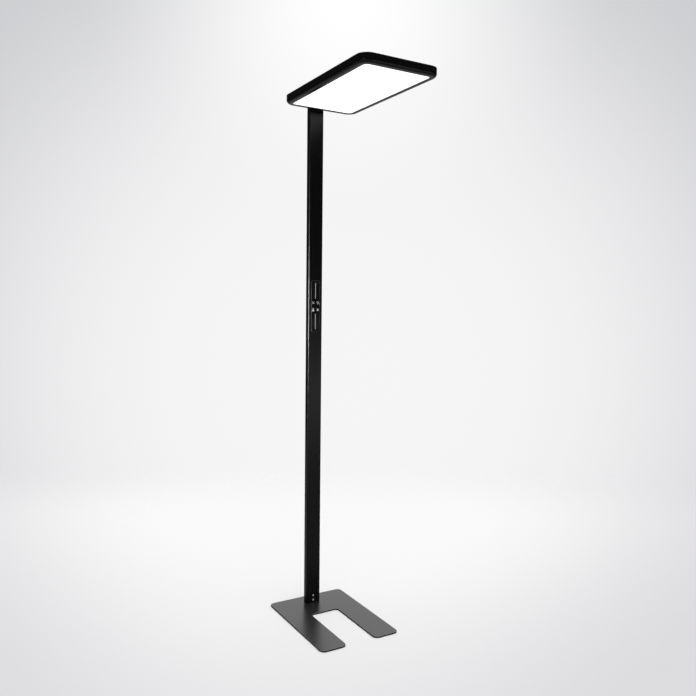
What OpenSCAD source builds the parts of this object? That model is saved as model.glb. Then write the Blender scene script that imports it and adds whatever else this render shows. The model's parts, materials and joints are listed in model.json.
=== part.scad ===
// Office floor lamp: a slim rectangular head with a glowing underside and an up-light window,
// held at its rear edge by a flat pole that stands on a U-shaped steel base.
// Millimetres. The origin is on the floor under the pole's axis and +Z is up.
// The head and the legs of the base reach forward, towards -Y.

/* [Overall] */
// Height from the floor to the top of the head
lamp_h = 1970; // [1700:5:2200]
// Clearance between pieces that fit into each other
fit_gap = 0.3; // [0.2:0.05:0.4]

/* [Base] */
// Width of the base plate
base_w = 320; // [260:5:420]
// Length of the base plate, from its back edge to the tips of its legs
base_l = 445; // [380:5:560]
// Distance from the pole's axis to the back edge of the base
base_back = 58; // [45:1:100]
// Thickness of the steel plate
base_t = 5; // [4.5:0.5:10]
// Radius of the plate's corners in plan
base_corner_r = 20; // [8:1:35]
// Width of the slot between the legs
slot_w = 115; // [80:1:150]
// Distance from the pole's axis to the back of the slot
slot_back = 107; // [60:1:180]
// Radius of the slot's back corners
slot_r = 12; // [3:1:30]
// Thickness of the anti-slip mat under the plate
mat_t = 1; // [0.8:0.1:3]
// Distance from the plate's edge in to the mat's edge
mat_inset = 2; // [1:0.5:4]

/* [Pole] */
// Width of the pole, across the front
pole_w = 60; // [54:1:90]
// Depth of the pole, from front to back
pole_d = 25; // [24:0.5:40]
// Wall of the pole
pole_wall = 3; // [2.6:0.1:3.4]
// Radius of the pole's outer corners
pole_corner_r = 4; // [3.5:0.5:8]
// Thickness of the cap that shows on top of the pole
cap_t = 2.5; // [1.5:0.5:5]
// Depth of the cap's plug
cap_plug_h = 5; // [3:0.5:6]

/* [Foot] */
// Height of the block inside the foot of the pole
foot_h = 55; // [45:1:75]
// Distance between the two bolts that come up through the plate
foot_bolt_pitch = 32; // [28:1:34]
// Diameter of those bolts
foot_bolt_d = 8; // [6:1:8]
// Height of the lower front screw above the plate
foot_screw_up = 10.5; // [8:0.5:16]
// Distance between the two front screws
foot_screw_pitch = 18; // [14:0.5:22]
// Diameter of the front screws
foot_screw_d = 4; // [3:1:5]
// Diameter of their heads
foot_screw_head_d = 8; // [7:0.5:9.5]

/* [Cord entry] */
// Height of the cord entry above the plate
entry_up = 99; // [95:1:300]
// Diameter of the gland's bore
entry_bore_d = 7.5; // [5:0.5:9]
// Wall of the gland round its bore
entry_wall = 2.2; // [1.5:0.1:3]
// Width of the gland's outer rim
entry_rim_w = 2.5; // [1.5:0.5:4]
// Thickness of the outer rim
entry_rim_t = 2.2; // [1:0.1:4]

/* [Touch panel] */
// Height of the panel's centre above the floor
touch_z = 1193; // [900:1:1300]
// Width of the glass
touch_w = 36; // [32:0.5:44]
// Height of the glass
touch_h = 201; // [160:1:260]
// Corner radius of the glass
touch_r = 3; // [1:0.5:6]
// Thickness of the glass
glass_t = 1.7; // [1.2:0.1:2]
// Width of the step that the glass rests on
glass_step_w = 2.5; // [1.5:0.5:4]
// How far the glass stands out of the pole
glass_proud = 0.2; // [0:0.1:0.6]
// Length of the two slider marks
slider_l = 60; // [40:1:70]
// Width of the slider marks
slider_w = 2.2; // [1:0.1:4]
// Distance from the panel's centre to the middle of a slider mark
slider_off = 60; // [56:0.5:64]
// Distance between the two columns of symbols
symbol_pitch_x = 20; // [16:0.5:24]
// Distance between the two rows of symbols
symbol_pitch_z = 27; // [20:0.5:32]
// Size of one symbol
symbol_size = 12; // [8:0.5:14]
// Height of the print above the glass
print_t = 0.2; // [0.1:0.05:0.4]

/* [Head] */
// Width of the head
head_w = 300; // [280:2:400]
// Length of the head
head_l = 570; // [540:5:700]
// Thickness of the head
head_t = 30; // [28:0.5:40]
// Gap between the front of the pole and the back of the head
head_gap = 14; // [10:0.5:30]
// Radius of the head's corners in plan
head_corner_r = 40; // [30:1:60]
// Width of the black rim round the glowing field
rim_w = 24; // [18:0.5:26]
// Radius of the rounding under the rim
rim_fillet = 12; // [8:0.5:14]
// Radius of the rim's top edge
rim_edge_r = 2; // [0.5:0.1:2.5]
// Wall of the frame
head_wall = 3; // [2.6:0.1:3.5]
// Thickness of the lip that carries the glowing panel
lip_t = 2; // [1.5:0.1:2.5]
// Width of the lip under the panel
lip_ledge_w = 4; // [3:0.5:5]
// Thickness of the inner upstand beside the panel
upstand_t = 2; // [1.5:0.1:2.5]
// Thickness of the top cover
cover_t = 2; // [1.8:0.1:3]

/* [Light] */
// Thickness of the opal panel
diffuser_t = 2.5; // [2:0.1:3]
// Thickness of the clear light guide
guide_t = 5; // [4:0.1:6]
// Thickness of the white sheet on the light guide
reflector_t = 0.5; // [0.3:0.1:1]
// Thickness of the circuit strips beside the light guide
strip_t = 1; // [0.8:0.1:1.6]
// Number of diodes on each strip
strip_leds = 24; // [8:1:40]
// Thickness of the carrier plate
carrier_t = 2; // [1.5:0.1:3]
// Width of the up-light window
window_w = 200; // [160:5:210]
// Length of the up-light window
window_l = 330; // [240:5:340]
// Distance from the head's front edge to the window
window_front = 45; // [30:1:60]
// Corner radius of the window
window_r = 12; // [4:1:20]
// Width of the lens's hidden flange
lens_flange_w = 5; // [3:0.5:8]
// Thickness of that flange
lens_flange_t = 1.5; // [1:0.1:2]
// Number of up-light boards
board_n = 4; // [2:1:5]
// Width of one up-light board
board_w = 22; // [16:1:30]
// Thickness of the circuit boards
board_t = 1.6; // [1:0.1:2]
// Number of diodes on each up-light board
board_leds = 10; // [4:1:16]
// Side of a diode
led_size = 3.5; // [2.5:0.1:4]
// Thickness of a diode
led_t = 0.8; // [0.5:0.1:1]

/* [Neck] */
// Width of the neck bracket
neck_w = 38; // [36:1:46]
// Height of the neck's underside above the head's underside
neck_up = 2; // [0.5:0.5:4]
// Length of the bracket's arm inside the head
arm_l = 94; // [70:1:110]
// Width of the cable channel through the neck
channel_w = 19; // [18:0.5:20]
// Thickness of metal over the channel
arm_top_t = 4.5; // [3.5:0.1:5]
// Diameter of the neck screws
neck_screw_d = 5; // [4:1:5]

/* [Electronics] */
// Width of a driver
driver_w = 45; // [30:1:50]
// Length of a driver with its ears
driver_l = 140; // [100:1:145]
// Height of a driver
driver_h = 12; // [9:0.5:13]
// Distance from the head's centre line to a driver's middle
driver_x = 75; // [70:1:85]
// Width of the control module
module_w = 34; // [24:1:36]
// Length of the control module
module_l = 58; // [40:1:60]
// Height of the control module
module_h = 9; // [8:0.5:12]
// Diameter of the mains cable inside the lamp
riser_d = 5; // [4:0.2:5.6]
// Diameter of the touch panel's cable
signal_d = 3; // [2:0.2:3.4]
// Diameter of the single wires inside the head
wire_d = 1.4; // [1:0.1:1.6]

/* [Hidden] */
$fn = 64;

// Finishes
satin_black = "#1a1a1c";
anthracite = "#4b4b4c";
bright_steel = "#d8dadc";
raw_aluminium = "#b9bcc0";
soft_rubber = "#161616";
opal_white = "#fbfbf6";
clear_tint = "#dfe9ee";
sheet_white = "#f4f4f4";
board_white = "#ece9de";
board_green = "#1d5a38";
diode_yellow = "#f2d36b";
print_grey = "#b4b6b8";
glass_black = "#0c0c0e";
case_grey = "#c9cbcd";
sheath_white = "#dadada";
earth_green = "#8fae2d";

// Heights, from the floor up
plate_z0 = mat_t;
plate_z1 = plate_z0 + base_t;
pole_z0 = plate_z1;
pole_z1 = lamp_h - cap_t;
head_z1 = lamp_h;
head_z0 = head_z1 - head_t;
diffuser_z0 = head_z0 + lip_t;
guide_z0 = diffuser_z0 + diffuser_t;
reflector_z0 = guide_z0 + guide_t;
carrier_z0 = reflector_z0 + reflector_t;
carrier_z1 = carrier_z0 + carrier_t;
cover_z0 = head_z1 - cover_t;
neck_z0 = head_z0 + neck_up;
arm_room = 1.2;
neck_z1 = cover_z0 - arm_room;
channel_z1 = neck_z1 - arm_top_t;
cable_z = (carrier_z1 + channel_z1) / 2;

// Depths, from the back forward
front_y = -pole_d / 2;
back_y = pole_d / 2;
inner_front_y = front_y + pole_wall;
inner_back_y = back_y - pole_wall;
head_y1 = front_y - head_gap;
head_y0 = head_y1 - head_l;
head_yc = (head_y0 + head_y1) / 2;
base_y1 = base_back;
base_y0 = base_back - base_l;
arm_y0 = head_y1 - arm_l;
window_y0 = head_y0 + window_front;
window_y1 = window_y0 + window_l;
parts_gap = 8;
parts_y1 = arm_y0 - parts_gap;

// The pole's inside and the blocks that fit in it
bore_w = pole_w - 2 * pole_wall;
bore_d = pole_d - 2 * pole_wall;
bore_r = 1.5;
block_w = bore_w - 2 * fit_gap;
block_d = bore_d - 2 * fit_gap;
block_r = bore_r - fit_gap;
foot_z1 = pole_z0 + foot_h;
block_web = 2.2;
neck_block_drop = 10;
neck_block_z0 = neck_z0 - neck_block_drop;

// Foot: bolts, screws, terminal block and cord entry
foot_bolt_land = 1;
foot_bolt_head_d = foot_bolt_d + 2 * (base_t - foot_bolt_land);
foot_bolt_grip = 18;
foot_bolt_l = base_t + foot_bolt_grip;
foot_screw_grip = 10;
foot_screw_l = pole_wall + foot_screw_grip;
foot_screw_head_h = 2.2;
mains_terminal_w = 28;
mains_terminal_d = 14;
mains_terminal_h = 18;
mains_terminal_x1 = 10;
mains_terminal_back = 1.5;
mains_terminal_y0 = inner_back_y - mains_terminal_back - mains_terminal_d;
mains_terminal_pitch = 9;
earth_in = 6.5;
earth_x = block_w / 2 - earth_in;
earth_y = mains_terminal_y0 + mains_terminal_d / 2 - 1;
earth_screw_l = 8;
tag_r = 4;
tag_t = 0.8;
entry_z = plate_z1 + entry_up;
entry_sleeve_d = entry_bore_d + 2 * entry_wall;
entry_lip_t = 1.2;

// Touch panel: the glass in its step, and the board behind it
glass_front_y = front_y - glass_proud;
glass_back_y = glass_front_y + glass_t;
touch_board_w = touch_w - 2 * glass_step_w - 2 * fit_gap;
touch_board_h = touch_h - 2 * glass_step_w - 2 * fit_gap;
touch_board_t = 1.2;
socket_w = 8;
socket_h = 8;
socket_z1 = touch_z + touch_board_h / 2 - 4;

// The frame's section: distances in from the outline
stack_u = rim_w - lip_ledge_w;
shelf_v = carrier_z0 - head_z0;
hollow_u = stack_u - upstand_t;
boss_r = 3;
boss_u = (head_wall + hollow_u) / 2;
boss_bore_r = 1.5;

// Distance in from the outline to the wall's inner face at height v
function wall_u(v) = v >= rim_fillet ? head_wall
    : rim_fillet - sqrt(pow(rim_fillet - head_wall, 2) - pow(rim_fillet - v, 2));

// Height of the rounded underside at distance u in from the outline
function under_v(u) = u >= rim_fillet ? 0
    : rim_fillet - sqrt(pow(rim_fillet, 2) - pow(rim_fillet - u, 2));

carrier_inset = wall_u(shelf_v) + fit_gap;
cover_inset = head_wall + fit_gap;
stack_inset = stack_u + fit_gap;
guide_inset = stack_u + strip_t + led_t + fit_gap;
strip_x = head_w / 2 - stack_u;
strip_l = head_l - 2 * head_corner_r;
strip_h = guide_t + reflector_t - fit_gap;

// Screw places in the head
side_screw_in = head_corner_r + 10;
side_screw_y = [for (i = [0:3]) head_y0 + side_screw_in + i * (head_l - 2 * side_screw_in) / 3];
end_screw_x = head_w / 4;
side_screw_x = head_w / 2 - boss_u;
boss_places = concat(
    [for (y = side_screw_y, s = [-1, 1]) [s * side_screw_x, y]],
    [for (s = [-1, 1]) [s * end_screw_x, head_y0 + boss_u]],
    [for (s = [-1, 1]) [s * end_screw_x, head_y1 - boss_u]]);
post_in = 15;
post_x = head_w / 2 - cover_inset - post_in;
post_end = 30;
post_places = [for (i = [0:3], s = [-1, 1])
    [s * post_x, head_y0 + post_end + i * (head_l - 2 * post_end) / 3]];
post_af = 5.5;
m3_r = 1.5;
m3_head_d = 5.5;
m3_head_h = 2;
m2_r = 1;
m2_head_d = 3.6;
m2_head_h = 1.2;
thread_gap = 0.1;

// Electronics in the head
board_side = 10;
board_end = 8;
board_pitch = (window_w - 2 * board_side) / board_n;
board_xs = [for (i = [0:board_n - 1]) (i - (board_n - 1) / 2) * board_pitch];
board_y0 = window_y0 + board_end;
board_y1 = window_y1 - board_end;
board_screw_end = 4;
board_screw_side = 3;
ear_l = 8;
ear_t = 2;
// The drivers lie midway between the up-light boards and the screws at the head's back
back_room = 1.5;
driver_yc = (board_y1 + head_y1 - boss_u - boss_r - back_room) / 2;
driver_y0 = driver_yc - driver_l / 2;
driver_y1 = driver_yc + driver_l / 2;
middle_gap = 1.5;
terminal_w = 18;
terminal_l = 18;
terminal_h = 11;
terminal_pitch = 5.5;
terminal_x = -(terminal_w / 2 + middle_gap);
module_x = module_w / 2 + middle_gap;
module_ear_w = 6;
riser_x = -6.5;
riser_back = 3;
riser_y = inner_back_y - riser_d / 2 - riser_back;
riser_bend = 9;
signal_x = 6;
signal_y = inner_front_y + signal_d / 2 + 0.7;
signal_bend = 5;
neck_screw_x = (channel_w / 2 + neck_w / 2) / 2;
neck_screw_land = 0.6;
neck_screw_head_d = neck_screw_d + 2 * (pole_wall - neck_screw_land);
neck_screw_zs = [neck_z0 + 5.5,
    min(channel_z1 - 1, pole_z1 - neck_screw_head_d / 2 - fit_gap)];
neck_screw_l = pole_d + head_gap - 3;
arm_screw_ys = [head_y1 - 24, arm_y0 + 12];
arm_screw_sink = 2;
arm_screw_head_d = 5;
arm_screw_l = neck_z1 - arm_screw_sink - carrier_z0;
wire_drop_x = strip_x - wire_d / 2 - 0.1;
wire_drop_y = head_y1 - post_end - (head_l - 2 * post_end) / 6;

// Small screws of the boards, the drivers and the control module
board_screw_places = [for (x = board_xs, y = [board_y0 + board_screw_end, board_y1 - board_screw_end])
    [x + board_w / 2 - board_screw_side, y]];
driver_screw_places = [for (s = [-1, 1], y = [driver_y0 + ear_l / 2, driver_y1 - ear_l / 2])
    [s * driver_x, y]];
module_screw_places = [for (y = [parts_y1 - module_ear_w / 2, parts_y1 - module_l + module_ear_w / 2])
    [module_x + module_w / 2 + module_ear_w / 2, y]];
small_screw_places = concat(board_screw_places, driver_screw_places, module_screw_places);

// ---------------------------------------------------------------- shared shapes

// Rectangle with round corners, centred
module round_rect(w, l, r) {
    square([w - 2 * r, l], center = true);
    square([w, l - 2 * r], center = true);
    for (x = [-1, 1], y = [-1, 1])
        translate([x * (w / 2 - r), y * (l / 2 - r)]) circle(r);
}

// Upright plate that faces -Y, with its front at y and its centre at height z
module front_plate(w, h, r, t, y, z) {
    translate([0, y + t, z]) rotate([90, 0, 0]) linear_extrude(t) round_rect(w, h, r);
}

// The head's outline drawn in by a distance, as a flat plate
module head_slab(inset, z, t) {
    translate([0, head_yc, z]) linear_extrude(t)
        round_rect(head_w - 2 * inset, head_l - 2 * inset, max(head_corner_r - inset, 2));
}

// Carries a section round a rounded rectangle. The section's X is the distance in from the outline.
module carried_round(w, l, r) {
    for (i = [0:3]) {
        a = i % 2 == 0 ? w / 2 : l / 2;
        b = i % 2 == 0 ? l / 2 : w / 2;
        rotate(90 * i) {
            translate([a, b - r, 0]) rotate([90, 0, 0])
                linear_extrude(2 * (b - r)) mirror([1, 0]) children();
            translate([a - r, b - r, 0]) rotate_extrude(angle = 90)
                translate([r, 0]) mirror([1, 0]) children();
        }
    }
}

// Pan-head screw that points down: the underside of its head is at the origin
module pan_screw(d, l, head_d, head_h) {
    translate([0, 0, -l]) cylinder(d = d, h = l);
    difference() {
        cylinder(d = head_d, h = head_h);
        translate([0, 0, head_h * 0.45]) cylinder(d = d * 0.6, h = head_h, $fn = 6);
    }
}

// Countersunk screw that points down: the top of its head is at the origin
module sunk_screw(d, l, head_d) {
    sink = (head_d - d) / 2;
    difference() {
        union() {
            translate([0, 0, -sink]) cylinder(d1 = d, d2 = head_d, h = sink);
            translate([0, 0, -l]) cylinder(d = d, h = l);
        }
        translate([0, 0, -sink * 0.7]) cylinder(d = d * 0.6, h = sink, $fn = 6);
    }
}

// The hole that takes a countersunk screw, with clearance all round
module sunk_hole(d, l, head_d) {
    sink = (head_d - d) / 2;
    translate([0, 0, -l - 1]) cylinder(d = d + 2 * thread_gap, h = l + 2);
    translate([0, 0, -sink - thread_gap])
        cylinder(d1 = d, d2 = head_d + 2 * thread_gap, h = sink + thread_gap);
    cylinder(d = head_d + 2 * thread_gap, h = 1);
}

// Round wire through a list of points
module wire(points, d) {
    for (i = [0:len(points) - 2]) {
        run = points[i + 1] - points[i];
        translate(points[i])
            rotate([0, acos(run.z / norm(run)), atan2(run.y, run.x)])
            cylinder(d = d, h = norm(run));
        if (i > 0) translate(points[i]) sphere(d = d);
    }
}

// Cable that rises in the pole and bends forward into the neck
module rising_cable(x, y, d, z0, bend, end_y) {
    translate([x, y, z0]) cylinder(d = d, h = cable_z - bend - z0);
    translate([x, y - bend, cable_z - bend]) rotate([90, 0, 90])
        rotate_extrude(angle = 90) translate([bend, 0]) circle(d = d);
    translate([x, y - bend, cable_z]) rotate([90, 0, 0]) cylinder(d = d, h = y - bend - end_y);
}

// ---------------------------------------------------------------- base and foot

// Outline of the U-shaped base, drawn in by a distance
module base_outline(inset) {
    tip_r = base_corner_r - inset;
    half_slot = slot_w / 2 + inset;
    slot_y1 = -slot_back + inset;
    back_r = slot_r + inset;
    front = base_y0 + inset;
    difference() {
        translate([0, (base_y0 + base_y1) / 2])
            round_rect(base_w - 2 * inset, base_l - 2 * inset, tip_r);
        translate([-half_slot, base_y0 - 1]) square([2 * half_slot, slot_y1 - back_r - base_y0 + 1]);
        translate([-half_slot + back_r, slot_y1 - back_r - 1])
            square([2 * (half_slot - back_r), back_r + 1]);
        for (s = [-1, 1]) {
            translate([s * (half_slot - back_r), slot_y1 - back_r]) circle(back_r);
            difference() {
                translate([s * (half_slot + tip_r / 2 - 0.5), front + tip_r / 2 - 1])
                    square([tip_r + 1, tip_r + 2], center = true);
                translate([s * (half_slot + tip_r), front + tip_r]) circle(tip_r);
            }
        }
    }
}

module foot_bolt_places() {
    for (s = [-1, 1]) translate([s * foot_bolt_pitch / 2, 0, 0]) children();
}

module base_plate() {
    color(anthracite) difference() {
        translate([0, 0, plate_z0]) linear_extrude(base_t) base_outline(0);
        foot_bolt_places() translate([0, 0, plate_z0]) rotate([180, 0, 0])
            sunk_hole(foot_bolt_d, foot_bolt_l, foot_bolt_head_d);
    }
}

module base_mat() {
    color(soft_rubber) difference() {
        linear_extrude(mat_t) base_outline(mat_inset);
        foot_bolt_places() translate([0, 0, -1]) cylinder(d = foot_bolt_head_d + 2, h = mat_t + 2);
    }
}

module base_bolts() {
    color(bright_steel) foot_bolt_places() translate([0, 0, plate_z0]) rotate([180, 0, 0])
        sunk_screw(foot_bolt_d, foot_bolt_l, foot_bolt_head_d);
}

module foot_screw_places() {
    for (i = [0, 1])
        translate([0, front_y, plate_z1 + foot_screw_up + i * foot_screw_pitch])
            rotate([90, 0, 0]) children();
}

module foot_insert() {
    color(raw_aluminium) difference() {
        translate([0, 0, pole_z0]) linear_extrude(foot_h) round_rect(block_w, block_d, block_r);
        foot_bolt_places() translate([0, 0, pole_z0 - 1])
            cylinder(d = foot_bolt_d + 2 * thread_gap, h = foot_bolt_l - base_t + 3);
        foot_screw_places() translate([0, 0, -foot_screw_l - 1])
            cylinder(d = foot_screw_d + 2 * thread_gap, h = foot_screw_l + 2);
        translate([earth_x, earth_y, foot_z1 - earth_screw_l - 1])
            cylinder(r = m3_r + thread_gap, h = earth_screw_l + 2);
    }
}

module foot_screws() {
    color(bright_steel) foot_screw_places()
        pan_screw(foot_screw_d, foot_screw_l, foot_screw_head_d, foot_screw_head_h);
}

module earth_screw() {
    color(bright_steel) translate([earth_x, earth_y, foot_z1 + tag_t])
        pan_screw(2 * m3_r, earth_screw_l, m3_head_d, m3_head_h);
}

// Ring tag under the earth screw, and its wire to the terminal block
module earth_lead() {
    color(earth_green) difference() {
        union() {
            translate([earth_x, earth_y, foot_z1]) cylinder(r = tag_r, h = tag_t);
            translate([mains_terminal_x1, earth_y, foot_z1 + wire_d])
                rotate([0, 90, 0]) cylinder(d = 1.6 * wire_d, h = earth_x - tag_r + 1 - mains_terminal_x1);
        }
        translate([earth_x, earth_y, foot_z1 - 1]) cylinder(r = m3_r + thread_gap, h = tag_t + 2);
    }
}

module mains_terminal() {
    color(sheet_white) difference() {
        translate([mains_terminal_x1 - mains_terminal_w, mains_terminal_y0, foot_z1])
            cube([mains_terminal_w, mains_terminal_d, mains_terminal_h]);
        for (i = [-1:1])
            translate([mains_terminal_x1 - mains_terminal_w / 2 + i * mains_terminal_pitch,
                    mains_terminal_y0 - 1, foot_z1 + mains_terminal_h / 2])
                rotate([-90, 0, 0]) cylinder(d = 4, h = 4);
    }
}

module cord_gland() {
    length = entry_lip_t + pole_wall + entry_rim_t;
    color(soft_rubber) translate([0, inner_back_y - entry_lip_t, entry_z]) rotate([-90, 0, 0])
        difference() {
            union() {
                cylinder(d = entry_sleeve_d, h = length);
                cylinder(d = entry_sleeve_d + 2, h = entry_lip_t);
                translate([0, 0, entry_lip_t + pole_wall])
                    cylinder(d = entry_sleeve_d + 2 * entry_rim_w, h = entry_rim_t);
            }
            translate([0, 0, -1]) cylinder(d = entry_bore_d, h = length + 2);
        }
}

// ---------------------------------------------------------------- pole

module pole_profile() {
    color(satin_black) difference() {
        translate([0, 0, pole_z0]) linear_extrude(pole_z1 - pole_z0) difference() {
            round_rect(pole_w, pole_d, pole_corner_r);
            round_rect(bore_w, bore_d, bore_r);
        }
        // Stepped window for the touch panel
        front_plate(touch_w, touch_h, touch_r, glass_t + 1 - glass_proud, front_y - 1, touch_z);
        front_plate(touch_w - 2 * glass_step_w, touch_h - 2 * glass_step_w, touch_r,
            pole_wall + 2, front_y - 1, touch_z);
        // Front screws at the foot
        foot_screw_places() translate([0, 0, -pole_wall - 1])
            cylinder(d = foot_screw_d + 2 * thread_gap, h = pole_wall + 2);
        // Cord entry
        translate([0, inner_back_y - 1, entry_z]) rotate([-90, 0, 0])
            cylinder(d = entry_sleeve_d + 2 * thread_gap, h = pole_wall + 2);
        // Neck: screws through both walls, and the cables' way out
        neck_screw_places() sunk_hole(neck_screw_d, pole_d, neck_screw_head_d);
        neck_channel();
    }
}

module pole_cap() {
    plug_w = channel_w - 2 * fit_gap;
    plug_y1 = block_d / 2 - block_web - fit_gap;
    color(satin_black) {
        translate([0, 0, pole_z1]) linear_extrude(cap_t) round_rect(pole_w, pole_d, pole_corner_r);
        translate([-plug_w / 2, -block_d / 2, pole_z1 - cap_plug_h])
            cube([plug_w, plug_y1 + block_d / 2, cap_plug_h]);
    }
}

module riser_cable() {
    color(sheath_white) rising_cable(riser_x, riser_y, riser_d, foot_z1 + mains_terminal_h,
        riser_bend, parts_y1);
}

// ---------------------------------------------------------------- touch panel

module touch_glass() {
    color(glass_black) front_plate(touch_w - 2 * fit_gap, touch_h - 2 * fit_gap, touch_r - fit_gap,
        glass_t, glass_front_y, touch_z);
}

// Places a flat mark on the glass
module on_glass(x, z) {
    translate([x, glass_front_y, touch_z + z]) rotate([90, 0, 0]) linear_extrude(print_t) children();
}

// Two crossed strokes: sensor off
module mark_cross(s) {
    for (a = [45, -45]) rotate(a) square([s, s * 0.14], center = true);
}

// Ring on a short stem: lamp
module mark_bulb(s) {
    difference() {
        translate([0, s * 0.12]) circle(s * 0.36);
        translate([0, s * 0.12]) circle(s * 0.25);
    }
    translate([0, -s * 0.36]) square([s * 0.3, s * 0.2], center = true);
}

// Head and shoulders: presence
module mark_person(s) {
    translate([0, s * 0.22]) circle(s * 0.24);
    difference() {
        translate([0, -s * 0.5]) circle(s * 0.42);
        translate([0, -s]) square([s, s], center = true);
    }
}

// Roof over a wall: room
module mark_house(s) {
    polygon([[-s * 0.45, 0], [s * 0.45, 0], [0, s * 0.45]]);
    translate([0, -s * 0.2]) square([s * 0.56, s * 0.4], center = true);
}

module touch_symbols() {
    color(print_grey) {
        for (s = [-1, 1]) on_glass(0, s * slider_off) square([slider_w, slider_l], center = true);
        on_glass(-symbol_pitch_x / 2, symbol_pitch_z / 2) mark_cross(symbol_size);
        on_glass(symbol_pitch_x / 2, symbol_pitch_z / 2) mark_bulb(symbol_size);
        on_glass(-symbol_pitch_x / 2, -symbol_pitch_z / 2) mark_person(symbol_size);
        on_glass(symbol_pitch_x / 2, -symbol_pitch_z / 2) mark_house(symbol_size);
    }
}

module touch_board() {
    board_back_y = glass_back_y + touch_board_t;
    color(board_green) {
        front_plate(touch_board_w, touch_board_h, touch_r - fit_gap, touch_board_t,
            glass_back_y, touch_z);
        translate([signal_x - socket_w / 2, board_back_y - 0.2, socket_z1 - socket_h])
            cube([socket_w, signal_y + signal_d / 2 + 0.5 - board_back_y, socket_h]);
    }
}

module touch_cable() {
    color(sheath_white) rising_cable(signal_x, signal_y, signal_d, socket_z1, signal_bend, parts_y1);
}

// ---------------------------------------------------------------- neck

module neck_screw_places() {
    for (s = [-1, 1], z = neck_screw_zs)
        translate([s * neck_screw_x, back_y, z]) rotate([-90, 0, 0]) children();
}

// The cables' way through the pole's front wall and the neck
module neck_channel() {
    translate([-channel_w / 2, head_y1 - arm_l - 1, carrier_z1])
        cube([channel_w, arm_l + head_gap + pole_wall + 2, channel_z1 - carrier_z1]);
}

module neck_insert() {
    h = pole_z1 - neck_block_z0;
    color(raw_aluminium) difference() {
        translate([0, 0, neck_block_z0]) linear_extrude(h) round_rect(block_w, block_d, block_r);
        translate([-channel_w / 2, -block_d / 2 - 1, neck_block_z0 - 1])
            cube([channel_w, block_d - block_web + 1, h + 2]);
        neck_screw_places() translate([0, 0, -pole_d - 1])
            cylinder(d = neck_screw_d + 2 * thread_gap, h = pole_d + 2);
    }
}

module neck_bracket() {
    block_h = neck_z1 - neck_z0;
    reach = head_gap + rim_fillet * 0.7;
    color(satin_black) difference() {
        union() {
            translate([0, front_y, (neck_z0 + neck_z1) / 2]) rotate([90, 0, 0])
                linear_extrude(reach) round_rect(neck_w, block_h, 4);
            translate([-neck_w / 2, arm_y0, carrier_z1]) cube([neck_w, arm_l + 1, neck_z1 - carrier_z1]);
        }
        // Room for the head's back wall, below the opening that the arm goes through
        translate([-neck_w / 2 - 1, front_y - reach - 1, neck_z0 - 1])
            cube([neck_w + 2, reach + 1 - head_gap + fit_gap, carrier_z1 - neck_z0 + 1]);
        neck_channel();
        neck_screw_places() translate([0, 0, -neck_screw_l - 1])
            cylinder(d = neck_screw_d + 2 * thread_gap, h = neck_screw_l);
        arm_screw_places() {
            translate([0, 0, -arm_screw_l]) cylinder(r = m3_r + thread_gap, h = arm_screw_l + 1);
            cylinder(d = arm_screw_head_d + 2 * fit_gap, h = arm_screw_sink + 1);
        }
    }
}

module neck_screws() {
    color(satin_black) neck_screw_places() sunk_screw(neck_screw_d, neck_screw_l, neck_screw_head_d);
}

module arm_screw_places() {
    for (s = [-1, 1], y = arm_screw_ys)
        translate([s * neck_screw_x, y, neck_z1 - arm_screw_sink]) children();
}

module arm_screws() {
    color(bright_steel) arm_screw_places()
        pan_screw(2 * m3_r, arm_screw_l, arm_screw_head_d, arm_screw_sink);
}

// ---------------------------------------------------------------- head, outside

// The frame's outline in section, drawn in by a distance and ending at the height top
module rim_shape(inset, top) {
    intersection() {
        translate([rim_fillet, rim_fillet]) circle(rim_fillet - inset);
        square(rim_fillet);
    }
    translate([rim_fillet, inset]) square([rim_w - rim_fillet, rim_fillet - inset]);
    translate([inset, rim_fillet]) square([rim_w - inset, top - rim_fillet]);
}

module rim_section() {
    difference() {
        rim_shape(0, head_t);
        // Rounded top edge
        translate([0, head_t - rim_edge_r]) difference() {
            translate([-1, 0]) square([rim_edge_r + 1, rim_edge_r + 1]);
            translate([rim_edge_r, 0]) circle(rim_edge_r);
        }
        // Hollow between the wall and the upstand
        intersection() {
            rim_shape(head_wall, head_t + 1);
            square([hollow_u, head_t + 1]);
        }
        // Room above the shelf
        intersection() {
            rim_shape(head_wall, head_t + 1);
            translate([0, shelf_v]) square([rim_w, head_t]);
        }
        // Room for the glowing panel and the light guide
        translate([stack_u, lip_t]) square([lip_ledge_w + 1, head_t]);
    }
}

module head_frame() {
    // The bosses start inside the rounded underside, at a whole hundredth
    boss_z0 = head_z0 + ceil(100 * under_v(boss_u - boss_r) + 30) / 100;
    color(satin_black) difference() {
        union() {
            translate([0, head_yc, head_z0]) carried_round(head_w, head_l, head_corner_r) rim_section();
            for (p = boss_places)
                translate([p.x, p.y, boss_z0]) cylinder(r = boss_r, h = carrier_z0 - boss_z0);
        }
        for (p = boss_places)
            translate([p.x, p.y, carrier_z0 - 6]) cylinder(r = boss_bore_r + thread_gap, h = 7);
        // Opening for the neck bracket's arm
        translate([-neck_w / 2 - fit_gap, head_y1 - head_wall - 4, carrier_z1 - fit_gap])
            cube([neck_w + 2 * fit_gap, head_wall + 5, neck_z1 - carrier_z1 + 2 * fit_gap]);
    }
}

module window_place() {
    translate([0, (window_y0 + window_y1) / 2, 0]) children();
}

module top_cover() {
    color(satin_black) difference() {
        head_slab(cover_inset, cover_z0, cover_t);
        window_place() translate([0, 0, cover_z0 - 1]) linear_extrude(cover_t + 2)
            round_rect(window_w, window_l, window_r);
        for (p = post_places) translate([p.x, p.y, head_z1]) sunk_hole(2 * m3_r, cover_t, 6);
    }
}

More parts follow.
